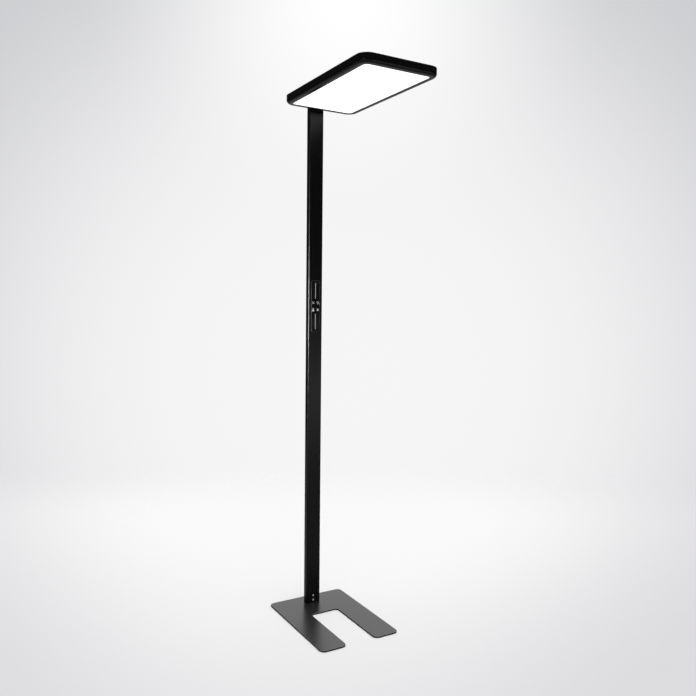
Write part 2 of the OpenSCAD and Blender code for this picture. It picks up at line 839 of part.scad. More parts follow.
module uplight_lens() {
    color(clear_tint) window_place() {
        translate([0, 0, cover_z0 - lens_flange_t]) linear_extrude(lens_flange_t)
            round_rect(window_w + 2 * lens_flange_w, window_l + 2 * lens_flange_w,
                window_r + lens_flange_w);
        translate([0, 0, cover_z0]) linear_extrude(cover_t)
            round_rect(window_w - 2 * fit_gap, window_l - 2 * fit_gap, window_r - fit_gap);
    }
}

module cover_posts() {
    h = cover_z0 - carrier_z1;
    color(bright_steel) for (p = post_places) translate([p.x, p.y, carrier_z1]) difference() {
        cylinder(d = post_af / cos(30), h = h, $fn = 6);
        translate([0, 0, h - 9]) cylinder(r = m3_r + thread_gap, h = 10);
    }
}

module cover_screws() {
    color(satin_black) for (p = post_places) translate([p.x, p.y, head_z1]) sunk_screw(2 * m3_r, 9, 6);
}

// ---------------------------------------------------------------- head, light engine

module diffuser() {
    color(opal_white) head_slab(stack_inset, diffuser_z0, diffuser_t);
}

module light_guide() {
    color(clear_tint) head_slab(guide_inset, guide_z0, guide_t);
}

module reflector_sheet() {
    color(sheet_white) head_slab(guide_inset, reflector_z0, reflector_t);
}

module edge_led_strips() {
    color(board_white) for (s = [-1, 1])
        translate([s * (strip_x - strip_t / 2), head_yc, guide_z0 + strip_h / 2])
            cube([strip_t, strip_l, strip_h], center = true);
}

module edge_leds() {
    pitch = strip_l / strip_leds;
    color(diode_yellow) for (s = [-1, 1], i = [0:strip_leds - 1])
        translate([s * (strip_x - strip_t - led_t / 2),
                head_yc + (i - (strip_leds - 1) / 2) * pitch, guide_z0 + guide_t / 2])
            cube([led_t, led_size, min(led_size, guide_t - 1)], center = true);
}

module carrier_plate() {
    color(raw_aluminium) difference() {
        head_slab(carrier_inset, carrier_z0, carrier_t);
        for (p = boss_places)
            translate([p.x, p.y, carrier_z0 - 1]) cylinder(r = m3_r + 2 * thread_gap, h = carrier_t + 2);
        arm_screw_places() translate([0, 0, -arm_screw_l - 1])
            cylinder(r = m3_r + thread_gap, h = arm_screw_l + 1);
        for (p = small_screw_places)
            translate([p.x, p.y, carrier_z0 - 1]) cylinder(r = m2_r + thread_gap, h = carrier_t + 2);
        // Notches where the wires go down to the two strips
        for (s = [-1, 1]) translate([s * wire_drop_x, wire_drop_y, carrier_z0 - 1])
            cylinder(d = wire_d + 1.6, h = carrier_t + 2);
    }
}

module carrier_screws() {
    color(bright_steel) for (p = boss_places) translate([p.x, p.y, carrier_z1])
        pan_screw(2 * m3_r, carrier_t + 5, 5, 1.8);
}

module uplight_boards() {
    color(board_white) difference() {
        for (x = board_xs) translate([x - board_w / 2, board_y0, carrier_z1])
            cube([board_w, board_y1 - board_y0, board_t]);
        for (p = board_screw_places)
            translate([p.x, p.y, carrier_z1 - 1]) cylinder(r = m2_r + thread_gap, h = board_t + 2);
    }
}

module uplight_leds() {
    pitch = (board_y1 - board_y0) / board_leds;
    color(diode_yellow) for (x = board_xs, i = [0:board_leds - 1])
        translate([x, board_y0 + (i + 0.5) * pitch, carrier_z1 + board_t + led_t / 2])
            cube([led_size, led_size, led_t], center = true);
}

module board_screws() {
    color(bright_steel) for (p = board_screw_places) translate([p.x, p.y, carrier_z1 + board_t])
        pan_screw(2 * m2_r, board_t + carrier_t, m2_head_d, m2_head_h);
}

// ---------------------------------------------------------------- head, electronics

// A driver's case with an ear at each end
module driver(x) {
    translate([x - driver_w / 2, driver_y0 + ear_l, carrier_z1])
        cube([driver_w, driver_l - 2 * ear_l, driver_h]);
    difference() {
        translate([x - driver_w / 2, driver_y0, carrier_z1]) cube([driver_w, driver_l, ear_t]);
        for (y = [driver_y0 + ear_l / 2, driver_y1 - ear_l / 2])
            translate([x, y, carrier_z1 - 1]) cylinder(r = m2_r + thread_gap, h = ear_t + 2);
    }
}

module downlight_driver() {
    color(case_grey) driver(driver_x);
}

module uplight_driver() {
    color(case_grey) driver(-driver_x);
}

module control_module() {
    color(soft_rubber) translate([module_x - module_w / 2, parts_y1 - module_l, carrier_z1]) {
        cube([module_w, module_l, module_h]);
        difference() {
            cube([module_w + module_ear_w, module_l, ear_t]);
            for (y = [module_ear_w / 2, module_l - module_ear_w / 2])
                translate([module_w + module_ear_w / 2, y, -1])
                    cylinder(r = m2_r + thread_gap, h = ear_t + 2);
        }
    }
}

module driver_screws() {
    color(bright_steel) for (p = concat(driver_screw_places, module_screw_places))
        translate([p.x, p.y, carrier_z1 + ear_t])
            pan_screw(2 * m2_r, ear_t + carrier_t, m2_head_d, m2_head_h);
}

module head_terminal() {
    color(sheet_white) difference() {
        translate([terminal_x - terminal_w / 2, parts_y1 - terminal_l, carrier_z1])
            cube([terminal_w, terminal_l, terminal_h]);
        for (i = [-1:1])
            translate([terminal_x + i * terminal_pitch, parts_y1 - terminal_l / 2,
                    carrier_z1 + terminal_h - 3])
                cylinder(d = 3, h = 4);
    }
}

module head_wiring() {
    mains_z = carrier_z1 + wire_d / 2 + 3.1;
    signal_z = mains_z + 1;
    feed_z = carrier_z1 + driver_h - 2;
    strip_feed_z = feed_z - 3;
    strip_z1 = guide_z0 + strip_h;
    board_z1 = carrier_z1 + board_t;
    loop_z = board_z1 + 3;
    inner_x = driver_x - driver_w / 2;
    outer_x = driver_x + driver_w / 2;
    case_y0 = driver_y0 + ear_l;
    module_y0 = parts_y1 - module_l;
    terminal_x0 = terminal_x - terminal_w / 2;
    // Mains to the up-light driver
    color("#6b3f22")
        wire([[terminal_x0, parts_y1 - 6, mains_z], [-inner_x, parts_y1 - 6, mains_z]], wire_d);
    color("#2b5ea8")
        wire([[terminal_x0, parts_y1 - 12, mains_z], [-inner_x, parts_y1 - 12, mains_z]], wire_d);
    // Mains to the down-light driver, round the front of the control module
    lane_y = (module_y0 + board_y1) / 2;
    entry_y = max(lane_y, case_y0) + 5;
    color("#6b3f22") wire([[terminal_x, parts_y1 - terminal_l, mains_z], [terminal_x, lane_y, mains_z],
        [inner_x - 3, lane_y, mains_z], [inner_x - 3, entry_y, mains_z], [inner_x, entry_y, mains_z]],
        wire_d);
    // Signal from the control module to the down-light driver
    color(sheath_white) wire([[module_x + module_w / 2, parts_y1 - module_l / 2, signal_z],
        [inner_x, parts_y1 - module_l / 2, signal_z]], wire_d);
    // Up-light driver to its boards, and the boards to each other
    color("#b03030") wire([[-driver_x, case_y0, feed_z], [-driver_x, board_y1 - board_screw_end, feed_z],
        [-driver_x, board_y1 - board_screw_end, board_z1]], wire_d);
    color("#b03030") for (i = [0:board_n - 2]) wire([
        [board_xs[i] + 4, board_y1 - 1, board_z1], [board_xs[i] + 4, board_y1 - 1, loop_z],
        [board_xs[i + 1] - 4, board_y1 - 1, loop_z], [board_xs[i + 1] - 4, board_y1 - 1, board_z1]], wire_d);
    // Down-light driver to the two edge strips
    cross_y = driver_y0 - 6;
    side_x = outer_x + 8;
    color("#d8d8d8") wire([[outer_x, wire_drop_y, mains_z], [wire_drop_x, wire_drop_y, mains_z],
        [wire_drop_x, wire_drop_y, strip_z1]], wire_d);
    color("#d8d8d8") wire([[driver_x, case_y0, strip_feed_z], [driver_x, cross_y, strip_feed_z],
        [-side_x, cross_y, strip_feed_z], [-side_x, wire_drop_y, strip_feed_z],
        [-wire_drop_x, wire_drop_y, strip_feed_z], [-wire_drop_x, wire_drop_y, strip_z1]], wire_d);
}

base_plate();
base_mat();
base_bolts();
foot_insert();
foot_screws();
earth_screw();
earth_lead();
mains_terminal();
cord_gland();
pole_profile();
pole_cap();
riser_cable();
touch_glass();
touch_symbols();
touch_board();
touch_cable();
neck_insert();
neck_bracket();
neck_screws();
arm_screws();
head_frame();
diffuser();
light_guide();
reflector_sheet();
edge_led_strips();
edge_leds();
carrier_plate();
carrier_screws();
uplight_boards();
uplight_leds();
board_screws();
uplight_lens();
top_cover();
cover_posts();
cover_screws();
downlight_driver();
uplight_driver();
driver_screws();
control_module();
head_terminal();
head_wiring();
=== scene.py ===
import json
import math
from collections import namedtuple

import bpy
import numpy as np
from bpy.props import FloatProperty, FloatVectorProperty, IntProperty, PointerProperty
from mathutils import Matrix, Vector
from mathutils.geometry import tessellate_polygon


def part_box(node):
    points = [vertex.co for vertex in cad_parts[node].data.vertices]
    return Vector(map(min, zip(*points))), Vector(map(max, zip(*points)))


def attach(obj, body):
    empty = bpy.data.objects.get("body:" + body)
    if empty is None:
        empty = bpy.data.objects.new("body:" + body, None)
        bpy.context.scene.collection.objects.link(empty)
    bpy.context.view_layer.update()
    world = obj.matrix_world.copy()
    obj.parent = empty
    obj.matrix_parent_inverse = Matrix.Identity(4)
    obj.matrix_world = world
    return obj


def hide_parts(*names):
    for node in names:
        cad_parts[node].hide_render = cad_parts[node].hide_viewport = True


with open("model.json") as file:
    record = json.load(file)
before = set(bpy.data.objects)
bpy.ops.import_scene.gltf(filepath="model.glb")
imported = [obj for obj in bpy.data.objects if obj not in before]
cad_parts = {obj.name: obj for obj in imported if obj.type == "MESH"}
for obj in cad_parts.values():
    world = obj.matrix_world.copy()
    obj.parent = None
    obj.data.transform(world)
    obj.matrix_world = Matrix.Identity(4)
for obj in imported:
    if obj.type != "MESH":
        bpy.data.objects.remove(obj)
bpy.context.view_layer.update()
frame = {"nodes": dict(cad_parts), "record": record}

bl_info = {
    "name": "Office floor lamp",
    "version": (1, 0, 0),
    "blender": (4, 5, 0),
    "location": "3D View > Sidebar > Floor lamp",
    "description": "Dresses the office floor lamp: its shells, screws, finishes and studio",
    "category": "Object",
}

MM = 0.001
HOLE_GAP = 0.1 * MM             # radial clearance of a screw or bush in its hole
SOCKET = 0.6                    # a hexagon socket's radius over its shank's
VIEW_X, VIEW_Y = 0.5, 0.866     # the camera's direction in plan


# ---------------- outlines and surfaces

Outline = namedtuple("Outline", "points normals first last")
Outline.__doc__ = "Points and outward normals in a plane, with the first and last point of each corner."

Seat = namedtuple("Seat", "origin axes")
Seat.__doc__ = "Where a local frame lies: its origin, and its X, Y and Z as rows."

FACING = {
    "up": ((1, 0, 0), (0, 1, 0), (0, 0, 1)),
    "down": ((1, 0, 0), (0, -1, 0), (0, 0, -1)),
    "front": ((1, 0, 0), (0, 0, 1), (0, -1, 0)),
    "back": ((-1, 0, 0), (0, 0, 1), (0, 1, 0)),
}


def seat(facing, origin=(0, 0, 0)):
    """Frame whose Z looks up, down, to the front or to the back."""
    return Seat(np.array(origin, float), np.array(FACING[facing], float))


LEVEL = seat("up")


def rounded(corners, steps=8, closed=True):
    """Straight runs joined by arcs, with the outside on the right of the way round.

    A corner is (x, y, radius), and radius 0 is a plain point on a straight run. The normal turns evenly
    from one run's to the next, and an arc point = centre + radius * normal, or minus on a hollow corner.
    """
    spots = np.array([corner[:2] for corner in corners], float)
    ahead = np.roll(spots, -1, axis=0) - spots
    ahead /= np.linalg.norm(ahead, axis=1)[:, None]
    before = np.roll(ahead, 1, axis=0)
    if not closed:
        before[0] = ahead[0]
        ahead[-1] = before[-1]
    points, normals, first, last = [], [], [], []
    count = 0
    for (x, y, radius), came, goes in zip(corners, before, ahead):
        turn = math.atan2(came[0] * goes[1] - came[1] * goes[0], came @ goes)
        side = math.copysign(radius, turn)
        angles = np.linspace(0, turn, steps + 1) if radius else np.zeros(1)
        start = np.array([came[1], -came[0]])
        normal = np.stack([np.cos(angles) * start[0] - np.sin(angles) * start[1],
                           np.sin(angles) * start[0] + np.cos(angles) * start[1]], axis=1)
        centre = np.array([x, y]) - came * radius * math.tan(abs(turn) / 2) - side * start
        points.append(centre + side * normal)
        normals.append(normal)
        first.append(count)
        count += len(angles)
        last.append(count - 1)
    return Outline(np.concatenate(points), np.concatenate(normals), first, last)


def round_rect(width, length, radius, centre=(0, 0), steps=8):
    """Rectangle with round corners, in the order front left, front right, back right, back left."""
    x, y = centre
    signs = ((-1, -1), (1, -1), (1, 1), (-1, 1))
    return rounded([(x + s * width / 2, y + t * length / 2, radius) for s, t in signs], steps)


def circle(radius, centre=(0, 0), steps=48):
    """Circle: centre + radius * (cos a, sin a)."""
    angles = np.arange(steps) * math.tau / steps
    normals = np.stack([np.cos(angles), np.sin(angles)], axis=1)
    return Outline(np.array(centre) + radius * normals, normals, [0], [steps - 1])


AXIS = circle(0)        # a path that turns a section about its own axis: w is then the radius


def inside(outline):
    """The same outline as a hole: run the other way, with its normals into the hole."""
    end = len(outline.points) - 1
    return Outline(outline.points[::-1], -outline.normals[::-1],
                   [end - i for i in reversed(outline.last)],
                   [end - i for i in reversed(outline.first)])


def strip(*corners, steps=3):
    """Open outline, to be carried round a path."""
    return rounded(corners, steps, closed=False)


def edge(low, high, soft, low_soft=None, steps=4):
    """Section of a plate's edge from its underside to its top, with both arrises softened."""
    low_soft = low_soft or soft
    return strip((-2 * low_soft, low, 0), (0, low, low_soft), (0, high, soft), (-2 * soft, high, 0),
                 steps=steps)


def sunk_edge(low, high, sink, soft):
    """Section of a hole whose countersink opens at its top."""
    return strip((-2 * soft, low, 0), (0, low, soft), (0, high - sink - soft, soft), (-sink, high, soft),
                 (-sink - 2 * soft, high, 0))


class Skin:
    """A surface being made for a node: its points, their outward normals, and its faces."""

    def __init__(self, node):
        self.node = node
        self.points = np.zeros((0, 3))
        self.normals = np.zeros((0, 3))
        self.faces = []

    def carry(self, path, section, where=LEVEL, ring_section=False, leave=()):
        """Carries a section (w, v) round a closed path, and returns the grid of its points' numbers.

        Place = path point + w * path normal + v * up, and normal = section's w part * path normal
        + its v part * up. The cells (i, j) in leave stay open.
        """
        out, up = section.points[:, 0], section.points[:, 1]
        points = np.empty((len(path.points), len(out), 3))
        points[..., :2] = path.points[:, None] + out[None, :, None] * path.normals[:, None]
        points[..., 2] = up
        normals = np.empty_like(points)
        normals[..., :2] = section.normals[None, :, :1] * path.normals[:, None]
        normals[..., 2] = section.normals[:, 1]
        index = np.arange(points[..., 0].size).reshape(points.shape[:-1]) + len(self.points)
        self.points = np.vstack([self.points, (points @ where.axes + where.origin).reshape(-1, 3)])
        self.normals = np.vstack([self.normals, (normals @ where.axes).reshape(-1, 3)])
        onward = np.roll(index, -1, axis=0)
        faces = np.stack([index, onward, np.roll(onward, -1, axis=1), np.roll(index, -1, axis=1)], axis=-1)
        kept = np.ones(index.shape, bool)
        kept[:, -1] = ring_section
        for i, j in leave:
            kept[i, j] = False
        self.faces += faces[kept].tolist()
        return index

    def hole(self, radius, place, section, where=LEVEL):
        """Wall of a round hole."""
        return self.carry(inside(circle(radius, place)), section, where)

    def fill(self, *rings, facing):
        """Flat face inside the first ring, with the other rings as its holes."""
        loops = [[Vector(point) for point in self.points[ring] / MM] for ring in rings]
        index = np.concatenate([np.ravel(ring) for ring in rings])[np.array(tessellate_polygon(loops))]
        a, b, c = (self.points[index[:, k]] for k in range(3))
        turned = np.cross(b - a, c - a) @ np.array(facing, float) < 0
        index[turned] = index[turned][:, ::-1]
        self.faces += index.tolist()

    def panel(self, index, i, j, holes, facing):
        """Closes the open cell (i, j) of a wall, with holes in it."""
        self.fill(index[[i, i + 1, i + 1, i], [j, j, j + 1, j + 1]], *holes, facing=facing)

    def make(self, form, slot):
        """Makes the mesh and its object, which stands for the node."""
        name = self.node + "_" + form
        mesh = bpy.data.meshes.new(name)
        mesh.from_pydata(self.points.tolist(), [], self.faces, shade_flat=False)
        mesh.normals_split_custom_set_from_vertices(self.normals.tolist())
        mesh.materials.append(finish(slot))
        mesh.validate()
        piece = put(name, mesh)
        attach(piece, "root")
        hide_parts(self.node)


def plate(skin, outline, section, holes=(), where=LEVEL):
    """Flat plate: its edge, and its two faces with holes that are already made."""
    index = skin.carry(outline, section, where)
    skin.fill(index[:, 0], *[hole[:, 0] for hole in holes], facing=-where.axes[2])
    skin.fill(index[:, -1], *[hole[:, -1] for hole in holes], facing=where.axes[2])
    return index


def hexagon(radius):
    """Hexagon with a little rounding, given by the radius to its corners."""
    soft = 0.08 * radius
    angles = [math.radians(60 * k) for k in range(6)]
    return rounded([(radius * math.cos(a), radius * math.sin(a), soft) for a in angles], 2)


def screw(skin, where, outline, socket):
    """Screw with a hexagon socket: a turned outline, whose last point is at the socket's ring."""
    soft = 0.1 * MM
    body = skin.carry(AXIS, strip(*outline, steps=5), where)
    top = outline[-1][1]
    depth = 1.3 * socket
    floor = top - depth
    well = strip((2 * soft, floor, 0), (0, floor, soft), (0, top, soft), (-2 * soft, top, 0), steps=2)
    hole = skin.carry(inside(hexagon(socket)), well, where)
    skin.fill(body[:, 0], facing=-where.axes[2])
    skin.fill(body[:, -1], hole[:, -1], facing=where.axes[2])
    skin.fill(hole[:, 0], facing=where.axes[2])


def sunk_screw(skin, where, thread, head, length):
    """Countersunk screw, from its two diameters, whose head ends level with the frame's origin."""
    soft = 0.15 * MM
    shank, rim = thread / 2, head / 2
    screw(skin, where, [(shank - 2 * soft, -length, 0), (shank, -length, soft), (shank, shank - rim, soft),
                        (rim, 0, soft), (rim - 4 * soft, 0, 0)], SOCKET * shank)


def put(name, data):
    """Object of the scene that shows a mesh, a light or a camera."""
    thing = bpy.data.objects.new(name, data)
    bpy.context.scene.collection.objects.link(thing)
    return thing


def middle(node):
    """Centre of a node's box."""
    low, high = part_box(node)
    return (low + high) / 2


# ---------------- shader sums

def sums(operation, swapped=False):
    """Method of a value that adds the Math node for an operation with another value or number."""
    def method(self, other):
        return self.maths(operation, other, self) if swapped else self.maths(operation, self, other)
    return method


class Value:
    """A number in a shader. Sums on it add the Math nodes."""

    def __init__(self, recipe, socket):
        self.recipe = recipe
        self.socket = socket

    def maths(self, operation, *terms):
        return self.recipe.node("Math", dict(enumerate(terms)), operation=operation)

    __add__ = __radd__ = sums("ADD")
    __mul__ = __rmul__ = sums("MULTIPLY")
    __sub__ = sums("SUBTRACT")
    __rsub__ = sums("SUBTRACT", swapped=True)
    __truediv__ = sums("DIVIDE")
    __mod__ = sums("FLOORED_MODULO")
    __pow__ = sums("POWER")
    __gt__ = sums("GREATER_THAN")
    __lt__ = sums("LESS_THAN")

    def wave(self):
        """Sine of the value."""
        return self.maths("SINE", self)

    def size(self):
        """The value without its sign."""
        return self.maths("ABSOLUTE", self)

    def ramp(self, start, stop):
        """Smooth step from 0 at start to 1 at stop."""
        return self.recipe.node("MapRange", {"Value": self, "From Min": start, "From Max": stop},
                                interpolation_type="SMOOTHSTEP")


class Recipe:
    """A node tree being made."""

    def __init__(self, tree):
        self.tree = tree
        tree.nodes.clear()

    def node(self, kind, sockets=None, output=0, **settings):
        """Adds a node: its settings, then a value or a link for each socket. Colours get their alpha."""
        made = self.tree.nodes.new("ShaderNode" + kind)
        for key, setting in settings.items():
            setattr(made, key, setting)
        for key, value in (sockets or {}).items():
            socket = made.inputs[key]
            if isinstance(value, Value):
                self.tree.links.new(value.socket, socket)
            else:
                socket.default_value = (*value, 1.0) if socket.type == "RGBA" else value
        return None if output is None else Value(self, made.outputs[output])

    def axes(self, source="Object"):
        """X, Y and Z. Object coordinates are metres in the lamp's own frame."""
        place = self.node("TexCoord", output=source)
        split = self.node("SeparateXYZ", {0: place})
        return [Value(self, socket) for socket in split.socket.node.outputs]

    def noise(self, grain, detail=2.0, stretch=(1, 1, 1)):
        """Noise whose grain is a length, drawn out along the axes by stretch."""
        place = self.node("TexCoord", output="Object")
        spread = tuple(1 / (grain * factor) for factor in stretch)
        vector = self.node("Mapping", {"Vector": place, "Scale": spread})
        return self.node("TexNoise", {"Vector": vector, "Scale": 1.0, "Detail": detail})

    def blend(self, factor, first, second):
        """First colour where the factor is 0, second where it is 1."""
        return self.node("Mix", {0: factor, 6: first, 7: second}, 2, data_type="RGBA")

    def bump(self, height, depth):
        """Normal of a surface that rises by depth where the height is 1."""
        return self.node("Bump", {"Height": height, "Distance": depth})

    def principled(self, **sockets):
        """Principled shader. Base_Color=... sets the socket Base Color."""
        named = {key.replace("_", " "): value for key, value in sockets.items()}
        return self.node("BsdfPrincipled", named)

    def surface(self, **sockets):
        """Principled shader, linked to the output."""
        self.end(self.principled(**sockets))

    def paint(self, factor, first, second, **sockets):
        """Surface whose colour goes from the first to the second with the factor."""
        self.surface(Base_Color=self.blend(factor, first, second), **sockets)

    def mottled(self, grain, first, second, rough, rougher, depth=0.0, stretch=(1, 1, 1), **sockets):
        """Surface whose colour, roughness and, where it has a depth, relief all follow one noise."""
        noise = self.noise(grain, stretch=stretch)
        if depth:
            sockets["Normal"] = self.bump(noise, depth)
        self.paint(noise, first, second, Roughness=rough + rougher * noise, **sockets)

    def mix(self, factor, first, second, kind="OutputMaterial"):
        """First shader where the factor is 0, second where it is 1, linked to the output."""
        self.end(self.node("MixShader", {0: factor, 1: first, 2: second}), kind)

    def end(self, shader, kind="OutputMaterial"):
        """Links a shader to the output."""
        self.node(kind, {"Surface": shader}, None)


# ---------------- finishes

def grey(level):
    """Neutral colour."""
    return (level, level, level)


def shade(tint, factor):
    """A colour made darker or paler."""
    return [part * factor for part in tint]


def finish(slot):
    """The material of a slot."""
    return bpy.data.materials["finish_" + slot]


def satin_black_paint(recipe, look):
    """Satin powder coat on aluminium: a fine orange peel, slightly uneven in its gloss."""
    peel = recipe.noise(0.5 * MM, 3)
    cloud = recipe.noise(60 * MM)
    recipe.paint(cloud, shade(look.black, 0.85), shade(look.black, 1.15), Specular_IOR_Level=0.2,
                 Roughness=look.black_roughness + 0.05 * (peel - 0.5) + 0.04 * cloud,
                 Normal=recipe.bump(peel, 0.004 * MM))


def anthracite_powder(recipe, look):
    """Fine-textured powder coat on steel: faint paler specks, a paler worn arris, a black cut edge."""
    z = recipe.axes()[2]
    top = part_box("base_plate")[1].z
    # cut is 1 on the plate's sides below its top edge, where the coat is painted near-black as shade
    cut = z.ramp(top - 1.0 * MM, top - 1.3 * MM)
    # arris is 1 on a thin band at the top edge, painted nine times paler as a highlight
    arris = z.ramp(top - 0.02 * MM, top - 0.3 * MM)
    grain = recipe.noise(0.35 * MM, 3)
    cloud = recipe.noise(90 * MM)
    speck = recipe.noise(0.8 * MM).ramp(0.62, 0.75)
    tint = recipe.blend(cloud, shade(look.base, 0.93), shade(look.base, 1.07))
    tint = recipe.blend(speck * 0.35, tint, shade(look.base, 1.6))
    tint = recipe.blend(arris * 0.7, tint, shade(look.base, 9))
    face = recipe.principled(Base_Color=tint, Specular_IOR_Level=1.0, IOR=1.55,
                             Roughness=look.base_roughness + 0.05 * (grain - 0.5) + 0.03 * cloud,
                             Normal=recipe.bump(grain, 0.003 * MM))
    # painted shade on the sides: a near-black, duller coat
    side = recipe.principled(Base_Color=recipe.blend(grain, grey(0.002), grey(0.004)),
                             Roughness=0.6 + 0.1 * grain, Specular_IOR_Level=0.1)
    recipe.mix(cut, face, side)


def black_plastic(recipe, look):
    """Moulded black plastic with a spark-eroded grain."""
    recipe.mottled(0.3 * MM, (0.009, 0.009, 0.010), (0.014, 0.014, 0.015), 0.5, 0.1, depth=0.01 * MM)


def black_rubber(recipe, look):
    """Anti-slip rubber: a diamond net of ribs and a dull, dusty face."""
    x, y, _ = recipe.axes()
    turn = math.tau / (6 * MM)
    net = ((x + y) * turn).wave().size() * ((x - y) * turn).wave().size()
    recipe.mottled(3 * MM, grey(0.008), (0.022, 0.021, 0.020), 0.72, 0.15,
                   Normal=recipe.bump(net, 0.15 * MM))


def bright_steel(recipe, look):
    """Bright zinc on turned steel: slightly milky, with fine scratches."""
    scratch = recipe.noise(0.12 * MM, 2, (12, 1, 1))
    recipe.paint(recipe.noise(1.5 * MM), (0.78, 0.79, 0.80), grey(0.90), Metallic=0.7,
                 Roughness=0.32 + 0.14 * scratch, Normal=recipe.bump(scratch, 0.003 * MM))


def black_steel(recipe, look):
    """Blackened steel with a little oil sheen."""
    recipe.mottled(1.2 * MM, (0.012, 0.012, 0.014), (0.035, 0.034, 0.036), 0.3, 0.15, Metallic=0.7)


def raw_aluminium(recipe, look):
    """Mill-finish aluminium: rolling lines along Y and dull patches."""
    line = recipe.noise(0.2 * MM, 3, (1, 60, 1))
    recipe.paint(line, (0.62, 0.63, 0.64), grey(0.80), Metallic=1.0,
                 Roughness=0.28 + 0.12 * line + 0.08 * recipe.noise(15 * MM),
                 Normal=recipe.bump(line, 0.004 * MM))


def opal_panel(recipe, look):
    """Opal acrylic lit from its long edges: a hair brighter there, with a faint cloudiness."""
    near_edge = recipe.axes()[0].size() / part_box("diffuser")[1].x
    cloud = recipe.noise(40 * MM)
    level = 0.955 + 0.035 * near_edge ** 2 + 0.01 * cloud
    recipe.surface(Base_Color=(0.82, 0.82, 0.80), Roughness=0.32 + 0.05 * cloud,
                   Emission_Color=recipe.blend(level, grey(0), look.glow),
                   Emission_Strength=look.glow_strength)


def clear_acrylic(recipe, look):
    """Frosted clear acrylic with shallow ridges that spread the light."""
    ridge = (recipe.axes()[0] * (math.tau / (4 * MM))).wave()
    recipe.mottled(0.3 * MM, (0.90, 0.93, 0.94), (0.96, 0.97, 0.97), 0.18, 0.08, IOR=1.49,
                   Transmission_Weight=1.0, Normal=recipe.bump(ridge, 0.1 * MM))


def white_sheet(recipe, look):
    """Matt white reflector film."""
    recipe.mottled(0.4 * MM, (0.84, 0.84, 0.83), (0.90, 0.90, 0.89), 0.6, 0.1)


def circuit_board(recipe, pitch, mask, over_track, rough):
    """Solder mask over copper tracks: straight runs along Y, with steps from noise."""
    step = recipe.noise(14 * MM, 0) > 0.5
    track = (((recipe.axes()[0] + step * pitch / 2) % pitch) / pitch - 0.5).size() < 0.16
    recipe.paint(track, mask, over_track, Roughness=rough + 0.1 * recipe.noise(0.5 * MM),
                 Normal=recipe.bump(track, 0.03 * MM))


def circuit_board_white(recipe, look):
    """White solder mask over the wide tracks of the diodes."""
    circuit_board(recipe, 5.5 * MM, (0.74, 0.73, 0.68), (0.84, 0.84, 0.80), 0.34)


def circuit_board_green(recipe, look):
    """Green solder mask over fine tracks."""
    circuit_board(recipe, 2.2 * MM, (0.010, 0.075, 0.030), (0.025, 0.16, 0.06), 0.3)


def diode(recipe, look):
    """Phosphor of the diodes, which glow warm white."""
    recipe.mottled(0.2 * MM, (0.85, 0.62, 0.14), (0.92, 0.74, 0.25), 0.4, 0.1,
                   Emission_Color=look.glow, Emission_Strength=look.diode_strength)


def black_glass(recipe, look):
    """Black glass with a paler ground edge, and a faint film of touch marks that dulls its gloss."""
    x, _, z = recipe.axes()
    low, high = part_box("touch_glass")
    highlight_band = 0.7 * MM
    across = x.size() < high.x - highlight_band
    along = (z - middle("touch_glass").z).size() < (high.z - low.z) / 2 - highlight_band
    # the band along the glass's edge, painted paler as a highlight and made rougher
    painted_edge_highlight = 1 - across * along
    smear = recipe.noise(18 * MM, 3, (1, 1, 2))
    tint = recipe.blend(smear, (0.006, 0.006, 0.0065), (0.010, 0.010, 0.011))
    recipe.paint(painted_edge_highlight, tint, grey(0.10), Roughness=0.12 + 0.12 * smear.ramp(0.45, 0.75) + 0.3 * painted_edge_highlight)


def print_grey(recipe, look):
    """Screen print on the glass. The presence mark is lit from behind."""
    x, _, z = recipe.axes()
    centre = middle("touch_symbols")
    lit = (x < centre.x - 3 * MM) * (z < centre.z) * (z > centre.z - 28 * MM)
    # grey(0.12) is a painted glow on the whole print; the presence mark glows more, lit from behind
    recipe.mottled(0.15 * MM, (0.50, 0.50, 0.51), (0.60, 0.60, 0.61), 0.45, 0.1,
                   Emission_Color=recipe.blend(lit, grey(0.12), (0.32, 0.33, 0.34)), Emission_Strength=1.0)


def case_white(recipe, look):
    """Moulded white plastic of the drivers."""
    recipe.mottled(0.4 * MM, (0.66, 0.66, 0.65), (0.72, 0.72, 0.71), 0.45, 0.1, depth=0.01 * MM)


def cable_sheath(recipe, look):
    """Soft grey sheath of the cables, with faint marks along it."""
    recipe.mottled(2 * MM, grey(0.52), (0.66, 0.66, 0.65), 0.5, 0.1, stretch=(1, 1, 8))


def earth_wire(recipe, look):
    """Green wire with a yellow stripe that winds round it."""
    x, _, z = recipe.axes()
    stripe = (x * (math.tau / (9 * MM)) + z * (math.tau / (5 * MM))).wave() > 0.2
    recipe.paint(stripe, (0.04, 0.30, 0.06), (0.75, 0.62, 0.04), Roughness=0.45)


def wire_mix(recipe, look):
    """Thin wires: red feeds and black returns, told apart by their place along X."""
    red = (recipe.axes()[0] / (3 * MM)).wave() > 0
    recipe.paint(red, grey(0.02), (0.45, 0.03, 0.02), Roughness=0.4 + 0.1 * recipe.noise(1 * MM))


FINISHES = (satin_black_paint, anthracite_powder, black_plastic, black_rubber, bright_steel, black_steel,
            raw_aluminium, opal_panel, clear_acrylic, white_sheet, circuit_board_white, circuit_board_green,
            diode, black_glass, print_grey, case_white, cable_sheath, earth_wire, wire_mix)


# ---------------- sizes and colours

def number(name, description, default, least=0, **more):
    """A number that is never less than its least."""
    return FloatProperty(name=name, description=description, default=default, min=least, **more)


def mm(name, description, millimetres):
    """A length, given in millimetres."""
    return number(name, description, millimetres * MM, unit="LENGTH", precision=4)


def angle(name, description, degrees):
    """An angle, given in degrees."""
    return number(name, description, math.radians(degrees), -math.pi, unit="ROTATION")


def tone(name, description, default):
    """A colour property."""
    return FloatVectorProperty(name=name, description=description, default=default, min=0, max=1,
                               subtype="COLOR")


